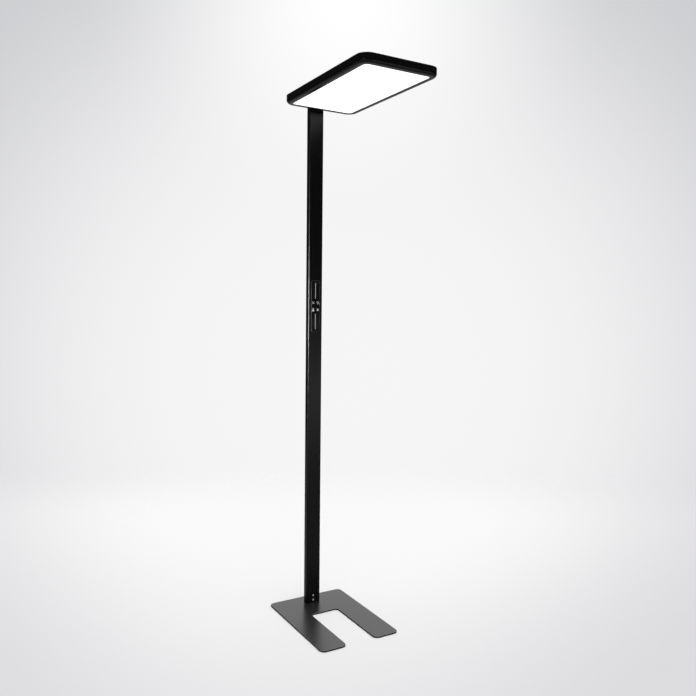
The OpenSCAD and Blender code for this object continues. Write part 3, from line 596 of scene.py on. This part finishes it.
class LampBase(bpy.types.PropertyGroup):
    """Sizes of the base and its mat."""

    corner: mm("Corner radius", "Round corners of the base in plan", 20)
    slot_width: mm("Slot width", "Width of the slot for a desk leg", 115)
    slot_back: mm("Slot back", "Distance from the pole's axis to the back of the slot", 107)
    slot_corner: mm("Slot corner radius", "Round corners at the back of the slot", 12)
    top_arris: mm("Top arris", "Rounding of the plate's top edge", 1.4)
    low_arris: mm("Lower arris", "Rounding of the plate's lower edge", 0.4)
    bolt_pitch: mm("Bolt pitch", "Distance between the two bolts from below", 32)
    bolt: mm("Bolt diameter", "Thread of the bolts from below", 8)
    bolt_head: mm("Bolt head", "Diameter of their countersunk heads", 16)


class LampPole(bpy.types.PropertyGroup):
    """Sizes of the pole, its touch window and what is screwed to it."""

    wall: mm("Wall", "Wall of the profile", 3)
    corner: mm("Corner radius", "Round corners of the profile", 4)
    bore_corner: mm("Inner radius", "Round corners of its bore", 1.5)
    end_arris: mm("End arris", "Rounding of the cut ends", 0.3)
    cap_arris: mm("Cap arris", "Rounding of the cap's top edge", 0.8)
    window_width: mm("Window width", "Width of the recess for the glass", 36)
    window_height: mm("Window height", "Height of the recess for the glass", 201)
    window_corner: mm("Window radius", "Round corners of the recess", 3)
    window_step: mm("Ledge", "Width of the ledge that carries the glass", 2.5)
    recess: mm("Recess", "Depth of the ledge below the face", 1.5)
    glass_gap: mm("Glass gap", "Gap round the glass", 0.3)
    glass_arris: mm("Glass arris", "Polished edge of the glass", 0.45)
    screw: mm("Foot screw", "Thread of the foot screws", 4)
    screw_head: mm("Foot screw head", "Diameter of their heads", 8)
    screw_length: mm("Foot screw length", "Length under the head", 13)
    neck_screw: mm("Neck screw", "Thread of the neck screws", 5)
    neck_head: mm("Neck screw head", "Diameter of their countersunk heads", 9.8)
    entry_bore: mm("Cord entry bore", "Bore of the bush for the mains lead", 7.5)
    entry_sleeve: mm("Cord entry sleeve", "Diameter of the bush in the wall", 11.9)
    entry_lip: mm("Cord entry lip", "Thickness of the lip inside the wall", 1.2)


class LampHead(bpy.types.PropertyGroup):
    """Sizes of the head, its cover and its windows."""

    corner: mm("Corner radius", "Round corners of the head in plan", 40)
    rim: mm("Rim width", "Width of the rim round the glowing panel", 24)
    fillet: mm("Underside radius", "Rounding from the side to the underside", 12)
    top_arris: mm("Top arris", "Rounding of the top edge", 2)
    wall: mm("Wall", "Wall of the frame", 3)
    lip: mm("Lip", "Thickness of the lip under the panel", 2)
    ledge: mm("Ledge", "Width of the lip that the panel lies on", 4)
    upstand: mm("Upstand", "Thickness of the upstand beside the panel", 2)
    shelf: mm("Upstand height", "Height of the upstand over the underside", 10)
    gap: mm("Cover gap", "Gap between the frame and the cover", 0.3)
    window_width: mm("Window width", "Width of the window in the cover", 200)
    window_length: mm("Window length", "Length of the window in the cover", 330)
    window_corner: mm("Window radius", "Round corners of that window", 12)
    flange: mm("Lens flange", "Width of the lens under the cover", 5)
    screw: mm("Cover screw", "Thread of the cover screws", 3)
    screw_head: mm("Cover screw head", "Diameter of their countersunk heads", 6)
    screw_in: mm("Screw inset", "Distance of the cover screws from the cover's side", 15)
    screw_end: mm("Screw end", "Distance of the first cover screws from the head's end", 30)
    screw_rows: IntProperty(name="Screw rows", description="Pairs of cover screws", default=4, min=2)


class LampLook(bpy.types.PropertyGroup):
    """Colours and gloss."""

    black: tone("Black", "Powder coat of the pole and head", (0.0045, 0.0045, 0.0048))
    black_roughness: number("Black roughness", "Roughness of that coat", 0.27, max=1)
    base: tone("Base", "Powder coat of the base", (0.011, 0.0107, 0.0105))
    base_roughness: number("Base roughness", "Roughness of that coat", 0.28, max=1)
    glow: tone("Light", "Colour of the light", (1.0, 0.985, 0.96))
    glow_strength: number("Panel strength", "Brightness of the glowing panel", 1.05)
    diode_strength: number("Diode strength", "Brightness of the diodes", 5.0)


class LampStudio(bpy.types.PropertyGroup):
    """Floor, lights and camera."""

    floor_radius: mm("Floor radius", "Radius at which the floor has faded out", 7000)
    # floor and floor_edge: the floor is painted from the first near the lamp to the second away from it, a
    # painted pool of light
    floor: tone("Floor", "Colour of the floor round the lamp", (0.93, 0.93, 0.93))
    floor_edge: tone("Floor edge", "Colour of the floor away from the lamp", (0.70, 0.70, 0.72))
    backdrop: tone("Backdrop", "Colour behind the lamp", (0.92, 0.915, 0.925))
    backdrop_edge: tone("Backdrop edge", "Colour at the sides", (0.60, 0.605, 0.625))
    fill: number("Fill light", "Brightness of the room", 1.0)
    side: number("Side light", "Power of the softbox at the side, in watts", 16.0)
    front: number("Front light", "Power of the softbox in front, in watts", 4.0)
    camera: FloatVectorProperty(name="Camera", description="Place of the camera", unit="LENGTH",
                                default=(-1.27523, -2.45683, 1.20339))
    yaw: angle("Yaw", "Turn of the view from +Y towards +X", 30.239)
    pitch: angle("Pitch", "Rise of the view", -3.588)
    roll: angle("Roll", "Lean of the camera", 0.616)
    lens: number("Lens", "Focal length in millimetres on a 36 mm frame", 36.353)


# ---------------- the lamp's pieces

def make_each(settings, *makers):
    """Calls what makes the pieces of a step, in order, with the step's settings."""
    for make in makers:
        make(settings)
    return {"FINISHED"}


class LAMP_OT_finishes(bpy.types.Operator):
    """Makes every finish and paints the frame's own nodes with them"""

    bl_idname = "lamp.finishes"
    bl_label = "Finishes"

    def execute(self, context):
        for make in FINISHES:
            material = bpy.data.materials.new("finish_" + make.__name__)
            material.use_nodes = True
            make(Recipe(material.node_tree), context.scene.lamp_look)
        for part in frame["record"]["subparts"]:
            node = frame["nodes"][part["node"]]
            for holder in node.material_slots:
                holder.material = finish(part["material_slot"])
        return {"FINISHED"}


def base_outline(sizes, inset=0.0):
    """The U of the base, drawn in by a distance."""
    low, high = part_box("base_plate")
    x, y0, y1 = high.x - inset, low.y + inset, high.y - inset
    half = sizes.slot_width / 2 + inset
    back = inset - sizes.slot_back
    tip = sizes.corner - inset
    hollow = sizes.slot_corner + inset
    return rounded([(-x, y0, tip), (-half, y0, tip), (-half, back, hollow), (half, back, hollow),
                    (half, y0, tip), (x, y0, tip), (x, y1, tip), (-x, y1, tip)], 12)


def bolt_places(sizes):
    """Axes of the two bolts from below."""
    return [(side * sizes.bolt_pitch / 2, 0.0) for side in (-1, 1)]


class LAMP_OT_base(bpy.types.Operator):
    """Base plate, its mat and the two bolts from below"""

    bl_idname = "lamp.base"
    bl_label = "Base"

    def execute(self, context):
        return make_each(context.scene.lamp_base, self.base_plate, self.base_mat, self.base_bolts)

    def base_plate(self, sizes):
        """Plate: a softened edge carried round the U, and two countersunk holes."""
        low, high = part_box("base_plate")
        skin = Skin("base_plate")
        soft = 0.1 * MM
        sink = (sizes.bolt_head - sizes.bolt) / 2
        sunk = strip((-sink - 2 * soft, low.z, 0), (-sink, low.z, soft), (0, low.z + sink + soft, soft),
                     (0, high.z, soft), (-2 * soft, high.z, 0))
        holes = [skin.hole(sizes.bolt / 2 + HOLE_GAP, place, sunk) for place in bolt_places(sizes)]
        plate(skin, base_outline(sizes), edge(low.z, high.z, sizes.top_arris, sizes.low_arris), holes)
        skin.make("shell", "anthracite_powder")

    def base_mat(self, sizes):
        """Mat: the same outline drawn in, with a round hole at each bolt."""
        low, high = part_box("base_mat")
        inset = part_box("base_plate")[1].x - high.x
        skin = Skin("base_mat")
        cut = edge(low.z, high.z, 0.2 * MM)
        hole_gap = 1 * MM
        holes = [skin.hole(sizes.bolt_head / 2 + hole_gap, place, cut) for place in bolt_places(sizes)]
        plate(skin, base_outline(sizes, inset), cut, holes)
        skin.make("sheet", "black_rubber")

    def base_bolts(self, sizes):
        """Countersunk bolts with hexagon sockets, seen from below."""
        low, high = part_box("base_bolts")
        skin = Skin("base_bolts")
        for x, y in bolt_places(sizes):
            sunk_screw(skin, seat("down", (x, y, low.z)), sizes.bolt, sizes.bolt_head, high.z - low.z)
        skin.make("turned", "bright_steel")


class LAMP_OT_pole(bpy.types.Operator):
    """Pole profile with its touch window, its cap, the foot screws and the cord entry"""

    bl_idname = "lamp.pole"
    bl_label = "Pole"

    def execute(self, context):
        return make_each(context.scene.lamp_pole, self.profile, self.glass, self.cap, self.foot_screws,
                         self.cord_gland, self.neck_screws)

    def foot_screw_heights(self, sizes):
        """Heights of the two foot screws."""
        low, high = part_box("foot_screws")
        return low.z + sizes.screw_head / 2, high.z - sizes.screw_head / 2

    def neck_screw_places(self, sizes):
        """X and Z of the four neck screws."""
        low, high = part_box("neck_screws")
        radius = sizes.neck_head / 2
        return [(side * (high.x - radius), z) for side in (-1, 1) for z in (low.z + radius, high.z - radius)]

    def window(self, sizes):
        """Outline of the recess for the glass, on the pole's face."""
        return round_rect(sizes.window_width, sizes.window_height, sizes.window_corner,
                          (0, middle("touch_glass").z))

    def profile(self, sizes):
        """Hollow profile: outline carried up, bore carried up inside it, and holes from face to face."""
        low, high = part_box("pole_profile")
        width, depth = high.x - low.x, high.y - low.y
        wall = sizes.wall
        soft = 0.15 * MM
        skin = Skin("pole_profile")
        rise = edge(low.z, high.z, sizes.end_arris)
        run = rise.last[1]
        outer = round_rect(width, depth, sizes.corner)
        bore = inside(round_rect(width - 2 * wall, depth - 2 * wall, sizes.bore_corner))
        shell = skin.carry(outer, rise, leave=[(i, run) for i in outer.last[::2]])
        lining = skin.carry(bore, rise, leave=[(i, run) for i in bore.last[::2]])
        plain = edge(-wall, 0, soft, steps=3)
        step = sizes.window_step
        stepped = strip((step - 2 * soft, -wall, 0), (step, -wall, soft), (step, -sizes.recess, soft),
                        (0, -sizes.recess, soft), (0, 0, soft), (-2 * soft, 0, 0))
        sunk = sunk_edge(-wall, 0, (sizes.neck_head - sizes.neck_screw) / 2, soft)
        face, rear = seat("front", (0, low.y, 0)), seat("back", (0, high.y, 0))
        face_holes = [skin.carry(inside(self.window(sizes)), stepped, face)]
        for z in self.foot_screw_heights(sizes):
            face_holes.append(skin.hole(sizes.screw / 2 + HOLE_GAP, (0, z), plain, face))
        rear_holes = [skin.hole(sizes.entry_sleeve / 2 + HOLE_GAP, (0, middle("cord_gland").z), plain, rear)]
        for place in self.neck_screw_places(sizes):
            rear_holes.append(skin.hole(sizes.neck_screw / 2 + HOLE_GAP, place, sunk, rear))
        for side, outer_i, bore_i, holes in ((-1, outer.last[0], bore.last[2], face_holes),
                                             (1, outer.last[2], bore.last[0], rear_holes)):
            skin.panel(shell, outer_i, run, [hole[:, -1] for hole in holes], facing=(0, side, 0))
            skin.panel(lining, bore_i, run, [hole[:, 0] for hole in holes], facing=(0, -side, 0))
        skin.fill(shell[:, 0], lining[:, 0], facing=(0, 0, -1))
        skin.fill(shell[:, -1], lining[:, -1], facing=(0, 0, 1))
        skin.make("shell", "satin_black_paint")

    def glass(self, sizes):
        """Glass: the window's outline drawn in by the gap, with a polished front edge."""
        low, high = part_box("touch_glass")
        window = self.window(sizes)
        outline = window._replace(points=window.points - sizes.glass_gap * window.normals)
        skin = Skin("touch_glass")
        plate(skin, outline, edge(low.y - high.y, 0, sizes.glass_arris, 0.2 * MM),
              where=seat("front", (0, low.y, 0)))
        skin.make("pane", "black_glass")

    def cap(self, sizes):
        """Cap: a plate of the pole's outline on the end of the profile."""
        low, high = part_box("pole_cap")
        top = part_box("pole_profile")[1].z
        skin = Skin("pole_cap")
        outline = round_rect(high.x - low.x, high.y - low.y, sizes.corner)
        plate(skin, outline, edge(top, high.z, sizes.cap_arris, 0.2 * MM))
        skin.make("plate", "satin_black_paint")

    def foot_screws(self, sizes):
        """Domed screws with hexagon sockets at the front of the foot."""
        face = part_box("pole_profile")[0].y
        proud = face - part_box("foot_screws")[0].y
        shank, head = sizes.screw / 2, sizes.screw_head / 2
        soft = 0.2 * MM
        skin = Skin("foot_screws")
        tip, dome, flat, socket = -sizes.screw_length, 0.8 * proud, 0.8 * shank, 0.65 * shank
        outline = [(shank - 2 * soft, tip, 0), (shank, tip, soft), (shank, 0, soft / 2), (head, 0, soft),
                   (head, proud, dome), (flat, proud, 0)]
        for z in self.foot_screw_heights(sizes):
            screw(skin, seat("front", (0, face, z)), outline, socket)
        skin.make("turned", "bright_steel")

    def cord_gland(self, sizes):
        """Rubber bush: a ring section turned about the entry's axis."""
        low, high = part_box("cord_gland")
        pole_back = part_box("pole_profile")[1].y
        bore, sleeve, rim = sizes.entry_bore / 2, sizes.entry_sleeve / 2, (high.x - low.x) / 2
        lip, wall_end, end = sizes.entry_lip, pole_back - low.y, high.y - low.y
        soft = 0.4 * MM
        inner_rim = sleeve + 1 * MM
        skin = Skin("cord_gland")
        ring = rounded([(bore, 0, soft), (inner_rim, 0, soft), (inner_rim, lip, soft),
                        (sleeve, lip, soft / 4), (sleeve, wall_end, soft / 4), (rim, wall_end, soft / 2),
                        (rim, end, 2 * soft), (bore, end, 2 * soft)], 5)
        skin.carry(AXIS, ring, seat("back", (0, low.y, middle("cord_gland").z)), ring_section=True)
        skin.make("bush", "black_rubber")

    def neck_screws(self, sizes):
        """Countersunk screws through the back of the pole into the neck."""
        low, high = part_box("neck_screws")
        skin = Skin("neck_screws")
        for x, z in self.neck_screw_places(sizes):
            sunk_screw(skin, seat("back", (-x, high.y, z)), sizes.neck_screw, sizes.neck_head, high.y - low.y)
        skin.make("turned", "satin_black_paint")


class LAMP_OT_head(bpy.types.Operator):
    """Head frame, glowing panel, top cover with its screws, and the window in it"""

    bl_idname = "lamp.head"
    bl_label = "Head"

    def execute(self, context):
        return make_each(context.scene.lamp_head, self.frame_rim, self.diffuser, self.top_cover,
                         self.uplight_lens)

    def outline(self, sizes, inset):
        """The head's outline, drawn in by a distance."""
        low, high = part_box("head_frame")
        return round_rect(high.x - low.x - 2 * inset, high.y - low.y - 2 * inset, sizes.corner - inset,
                          middle("head_frame")[:2], 16)

    def window(self, sizes, grow):
        """The window's outline, drawn out by a distance."""
        return round_rect(sizes.window_width + 2 * grow, sizes.window_length + 2 * grow,
                          sizes.window_corner + grow, middle("uplight_lens")[:2], 10)

    def screw_places(self, sizes):
        """Axes of the cover screws, in rows of two."""
        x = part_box("top_cover")[1].x - sizes.screw_in
        low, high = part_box("head_frame")
        rows = np.linspace(low.y + sizes.screw_end, high.y - sizes.screw_end, sizes.screw_rows)
        return [(side * x, y) for side in (-1, 1) for y in rows]

    def frame_rim(self, sizes):
        """Frame: its section carried round the head, open where the neck's arm goes in."""
        low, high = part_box("head_frame")
        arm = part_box("neck_bracket")
        height = high.z - low.z
        arm_half = arm[1].x + sizes.gap
        arm_top = arm[1].z + sizes.gap - low.z
        rim, wall, lip = sizes.rim, sizes.wall, sizes.lip
        stack = rim - sizes.ledge
        hollow = stack - sizes.upstand
        soft = 0.2 * MM
        ring = rounded([
            (0, 0, sizes.fillet), (0, arm_top, 0), (0, height, sizes.top_arris),
            (-wall, height, 2 * soft), (-wall, arm_top, 0), (-wall, wall, sizes.fillet - wall),
            (-hollow, wall, soft), (-hollow, sizes.shelf, soft), (-stack, sizes.shelf, soft),
            (-stack, lip, soft), (-rim, lip, soft), (-rim, 0, 2 * soft)])
        x, y0, y1 = high.x, low.y, high.y
        path = rounded([(-x, y0, sizes.corner), (x, y0, sizes.corner), (x, y1, sizes.corner),
                        (arm_half, y1, 0), (-arm_half, y1, 0), (-x, y1, sizes.corner)], 16)
        right, left = path.first[3], path.first[4]
        outer_low, outer_high = ring.last[0], ring.first[1]
        inner_high, inner_low = ring.first[4], ring.first[5]
        skin = Skin("head_frame")
        index = skin.carry(path, ring, seat("up", (0, 0, low.z)), ring_section=True,
                           leave=[(right, outer_low), (right, inner_high)])
        for spans, runs in (((right,) * 4, (inner_low, inner_high, outer_high, outer_low)),
                            ((left,) * 4, (outer_low, outer_high, inner_high, inner_low)),
                            ((right, left, left, right), (outer_low, outer_low, inner_low, inner_low)),
                            ((right, left, left, right), (inner_high, inner_high, outer_high, outer_high))):
            skin.faces.append(index[spans, runs].tolist())
        skin.make("rim", "satin_black_paint")

    def diffuser(self, sizes):
        """Opal panel with slightly rounded arrises."""
        low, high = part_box("diffuser")
        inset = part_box("head_frame")[1].x - high.x
        skin = Skin("diffuser")
        plate(skin, self.outline(sizes, inset), edge(low.z, high.z, 0.3 * MM))
        skin.make("panel", "opal_panel")

    def top_cover(self, sizes):
        """Cover with the window and a countersunk hole at each screw, and its screws."""
        low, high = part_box("top_cover")
        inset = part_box("head_frame")[1].x - high.x
        sunk = sunk_edge(low.z, high.z, (sizes.screw_head - sizes.screw) / 2, 0.1 * MM)
        skin = Skin("top_cover")
        holes = [skin.carry(inside(self.window(sizes, 0)), edge(low.z, high.z, 0.4 * MM, 0.2 * MM))]
        places = self.screw_places(sizes)
        for place in places:
            holes.append(skin.hole(sizes.screw / 2 + HOLE_GAP, place, sunk))
        plate(skin, self.outline(sizes, inset), edge(low.z, high.z, 0.6 * MM, 0.2 * MM), holes)
        skin.make("plate", "satin_black_paint")
        screws = Skin("cover_screws")
        low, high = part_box("cover_screws")
        for x, y in places:
            sunk_screw(screws, seat("up", (x, y, high.z)), sizes.screw, sizes.screw_head, high.z - low.z)
        screws.make("turned", "black_steel")

    def uplight_lens(self, sizes):
        """Lens: a raised middle that fills the window, on a flange under the cover."""
        low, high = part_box("uplight_lens")
        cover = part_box("top_cover")[0].z
        out = sizes.flange + sizes.gap
        soft = 0.3 * MM
        stepped = strip((out - 2 * soft, low.z, 0), (out, low.z, soft), (out, cover, soft / 2),
                        (0, cover, soft / 2), (0, high.z, soft), (-2 * soft, high.z, 0), steps=4)
        skin = Skin("uplight_lens")
        plate(skin, self.window(sizes, -sizes.gap), stepped)
        skin.make("pane", "clear_acrylic")


# ---------------- studio

def along_view(x, y):
    """Distance along the camera's direction in plan, and across it."""
    return x * VIEW_X + y * VIEW_Y, x * VIEW_Y - y * VIEW_X


class LAMP_OT_studio(bpy.types.Operator):
    """Pale floor, soft lights and the camera at the photograph's angle"""

    bl_idname = "lamp.studio"
    bl_label = "Studio"

    def execute(self, context):
        context.scene.view_settings.view_transform = "Standard"
        return make_each(context.scene.lamp_studio, self.floor, self.room, self.softboxes, self.camera)

    def floor(self, studio):
        """Disc that fades into the backdrop: place = radius * (cos a, sin a, 0) on rings.

        It lies a hair above the ground, so that the mat's underside shows from below, where the disc is
        clear. It is open at the bolts, which the base hides from above. Glossy surfaces see it darker than
        it is.
        """
        rings, steps, height = 12, 96, 0.2 * MM
        radius = np.linspace(0.05, 1, rings)[:, None] * studio.floor_radius
        angles = np.arange(steps)[None, :] * math.tau / steps
        points = np.stack([radius * np.cos(angles), radius * np.sin(angles),
                           np.full((rings, steps), height)], axis=-1)
        index = np.arange(rings * steps).reshape(rings, steps)
        nearer, further = index[:-1], index[1:]
        faces = np.stack([nearer, further, np.roll(further, -1, axis=1), np.roll(nearer, -1, axis=1)],
                         axis=-1)
        mesh = bpy.data.meshes.new("studio_floor")
        mesh.from_pydata(points.reshape(-1, 3).tolist(), [],
                         faces.reshape(-1, 4).tolist() + [index[0].tolist()])
        material = bpy.data.materials.new("studio_floor")
        material.use_nodes = True
        recipe = Recipe(material.node_tree)
        x, y, _ = recipe.axes()
        away = (x * x + y * y) ** 0.5
        # The floor is painted palest round a spot behind the lamp along the view and darker away from it: a
        # painted pool of light.
        depth, aside = along_view(x, y)
        painted_light_depth, camera_away = 1.2, 2.77     # metres behind the lamp, and in front of it
        lengthways, sideways = (depth - painted_light_depth) * 0.85, 3.6 * aside / (depth + camera_away)
        from_painted_light = (lengthways ** 2 + sideways ** 2) ** 0.5
        from_below = recipe.node("NewGeometry", output="Backfacing")
        at_bolts = (x.size() < 30 * MM) * (y.size() < 12 * MM)
        faded = away.ramp(0.4 * studio.floor_radius, 0.98 * studio.floor_radius)
        gone = 1 - (1 - from_below) * (1 - at_bolts) * (1 - depth.ramp(1.0, 2.5)) * (1 - faded)
        tint = recipe.blend(from_painted_light.ramp(0.7, 2.4), studio.floor, studio.floor_edge)
        glossy = recipe.node("LightPath", output="Is Glossy Ray")
        tint = recipe.blend(glossy * 0.57, tint, grey(0))
        painted = recipe.principled(Base_Color=tint, Roughness=0.8, Specular_IOR_Level=0.1)
        recipe.mix(gone, painted, recipe.node("BsdfTransparent"))
        mesh.materials.append(material)
        put("studio_floor", mesh)

    def room(self, studio):
        """World: a pale backdrop to the eye, and to the surfaces a room that is darker in front.

        A view's x, y and z are the parts of a direction, so the ramps run between cosines.
        """
        world = bpy.data.worlds.new("studio_room")
        bpy.context.scene.world = world
        world.use_nodes = True
        recipe = Recipe(world.node_tree)
        x, y, z = recipe.axes("Generated")
        seen = recipe.node("LightPath", output="Is Camera Ray")
        ahead, aside = along_view(x, y)
        to_middle = x * 0.498 + y * 0.862 - z * 0.09
        pale = to_middle.ramp(0.78, 1.0) + 0.6 * ahead.ramp(0.75, 0.2)
        backdrop = recipe.blend(pale, studio.backdrop_edge, studio.backdrop)
        beam = z.ramp(0.1, 0.38) * (1 - aside.size().ramp(0, 0.33))
        backdrop = recipe.blend(beam, backdrop, grey(1))
        level = (0.03 + 0.9 * ahead.ramp(0.7, 0.95)) * (0.35 + 0.65 * z.ramp(-0.3, 0.1))
        level = level + 1.7 * z.ramp(0.45, 0.85) + 0.9 * z.ramp(-0.3, -0.8)
        light = recipe.blend(level * 0.5, grey(0), grey(2))
        shown = recipe.node("Background", {"Color": backdrop, "Strength": 1.0})
        lit = recipe.node("Background", {"Color": light, "Strength": studio.fill})
        recipe.mix(seen, lit, shown, "OutputWorld")

    def softboxes(self, studio):
        """Oval softboxes that show in glossy surfaces only, with grids that narrow their spread.

        The reflection of the side one runs down the pole's left corner. The front one is wide and low.
        """
        for name, place, aim, width, height, spread, power in (
                ("softbox_side", (-2.6, -1.5, 1.17), (0, 0, 1.18), 0.6, 0.35, 34, studio.side),
                ("softbox_front", (1.4, -2.7, 0.5), (0, 0, 0.9), 1.2, 0.7, 180, studio.front)):
            lamp = bpy.data.lights.new(name, "AREA")
            lamp.shape = "ELLIPSE"
            lamp.size = width
            lamp.size_y = height
            lamp.spread = math.radians(spread)
            lamp.energy = power
            box = put(name, lamp)
            turn = (Vector(aim) - Vector(place)).to_track_quat("-Z", "Y").to_matrix().to_4x4()
            box.matrix_world = Matrix.Translation(place) @ turn
            box.visible_diffuse = False

    def camera(self, studio):
        """Camera: rolled about its own axis, raised to the horizon and the pitch, then turned by the yaw."""
        turn = (Matrix.Rotation(-studio.yaw, 4, "Z") @ Matrix.Rotation(math.pi / 2 + studio.pitch, 4, "X")
                @ Matrix.Rotation(studio.roll, 4, "Z"))
        data = bpy.data.cameras.new("studio_camera")
        data.sensor_width = 36.0
        data.lens = studio.lens
        camera = put("studio_camera", data)
        camera.matrix_world = Matrix.Translation(studio.camera) @ turn
        bpy.context.scene.camera = camera


class LAMP_PT_sidebar(bpy.types.Panel):
    """Sidebar panel with the lamp's settings and steps"""

    bl_label = "Office floor lamp"
    bl_idname = "LAMP_PT_sidebar"
    bl_space_type = "VIEW_3D"
    bl_region_type = "UI"
    bl_category = "Floor lamp"

    def draw(self, context):
        for name, group in SETTINGS.items():
            box = self.layout.box()
            box.label(text=group.__doc__.rstrip("."))
            for key in group.__annotations__:
                box.prop(getattr(context.scene, name), key)
        for step in STEPS:
            self.layout.operator(step.bl_idname)


SETTINGS = {"lamp_base": LampBase, "lamp_pole": LampPole, "lamp_head": LampHead, "lamp_look": LampLook,
            "lamp_studio": LampStudio}
STEPS = (LAMP_OT_finishes, LAMP_OT_base, LAMP_OT_pole, LAMP_OT_head, LAMP_OT_studio)
KINDS = (*SETTINGS.values(), *STEPS, LAMP_PT_sidebar)


def register():
    for kind in KINDS:
        bpy.utils.register_class(kind)
    for name, group in SETTINGS.items():
        setattr(bpy.types.Scene, name, PointerProperty(type=group))


def unregister():
    for name in SETTINGS:
        delattr(bpy.types.Scene, name)
    for kind in KINDS:
        bpy.utils.unregister_class(kind)


def main():
    register()
    bpy.ops.lamp.finishes()
    bpy.ops.lamp.base()
    bpy.ops.lamp.pole()
    bpy.ops.lamp.head()
    bpy.ops.lamp.studio()


if __name__ == "__main__":
    main()
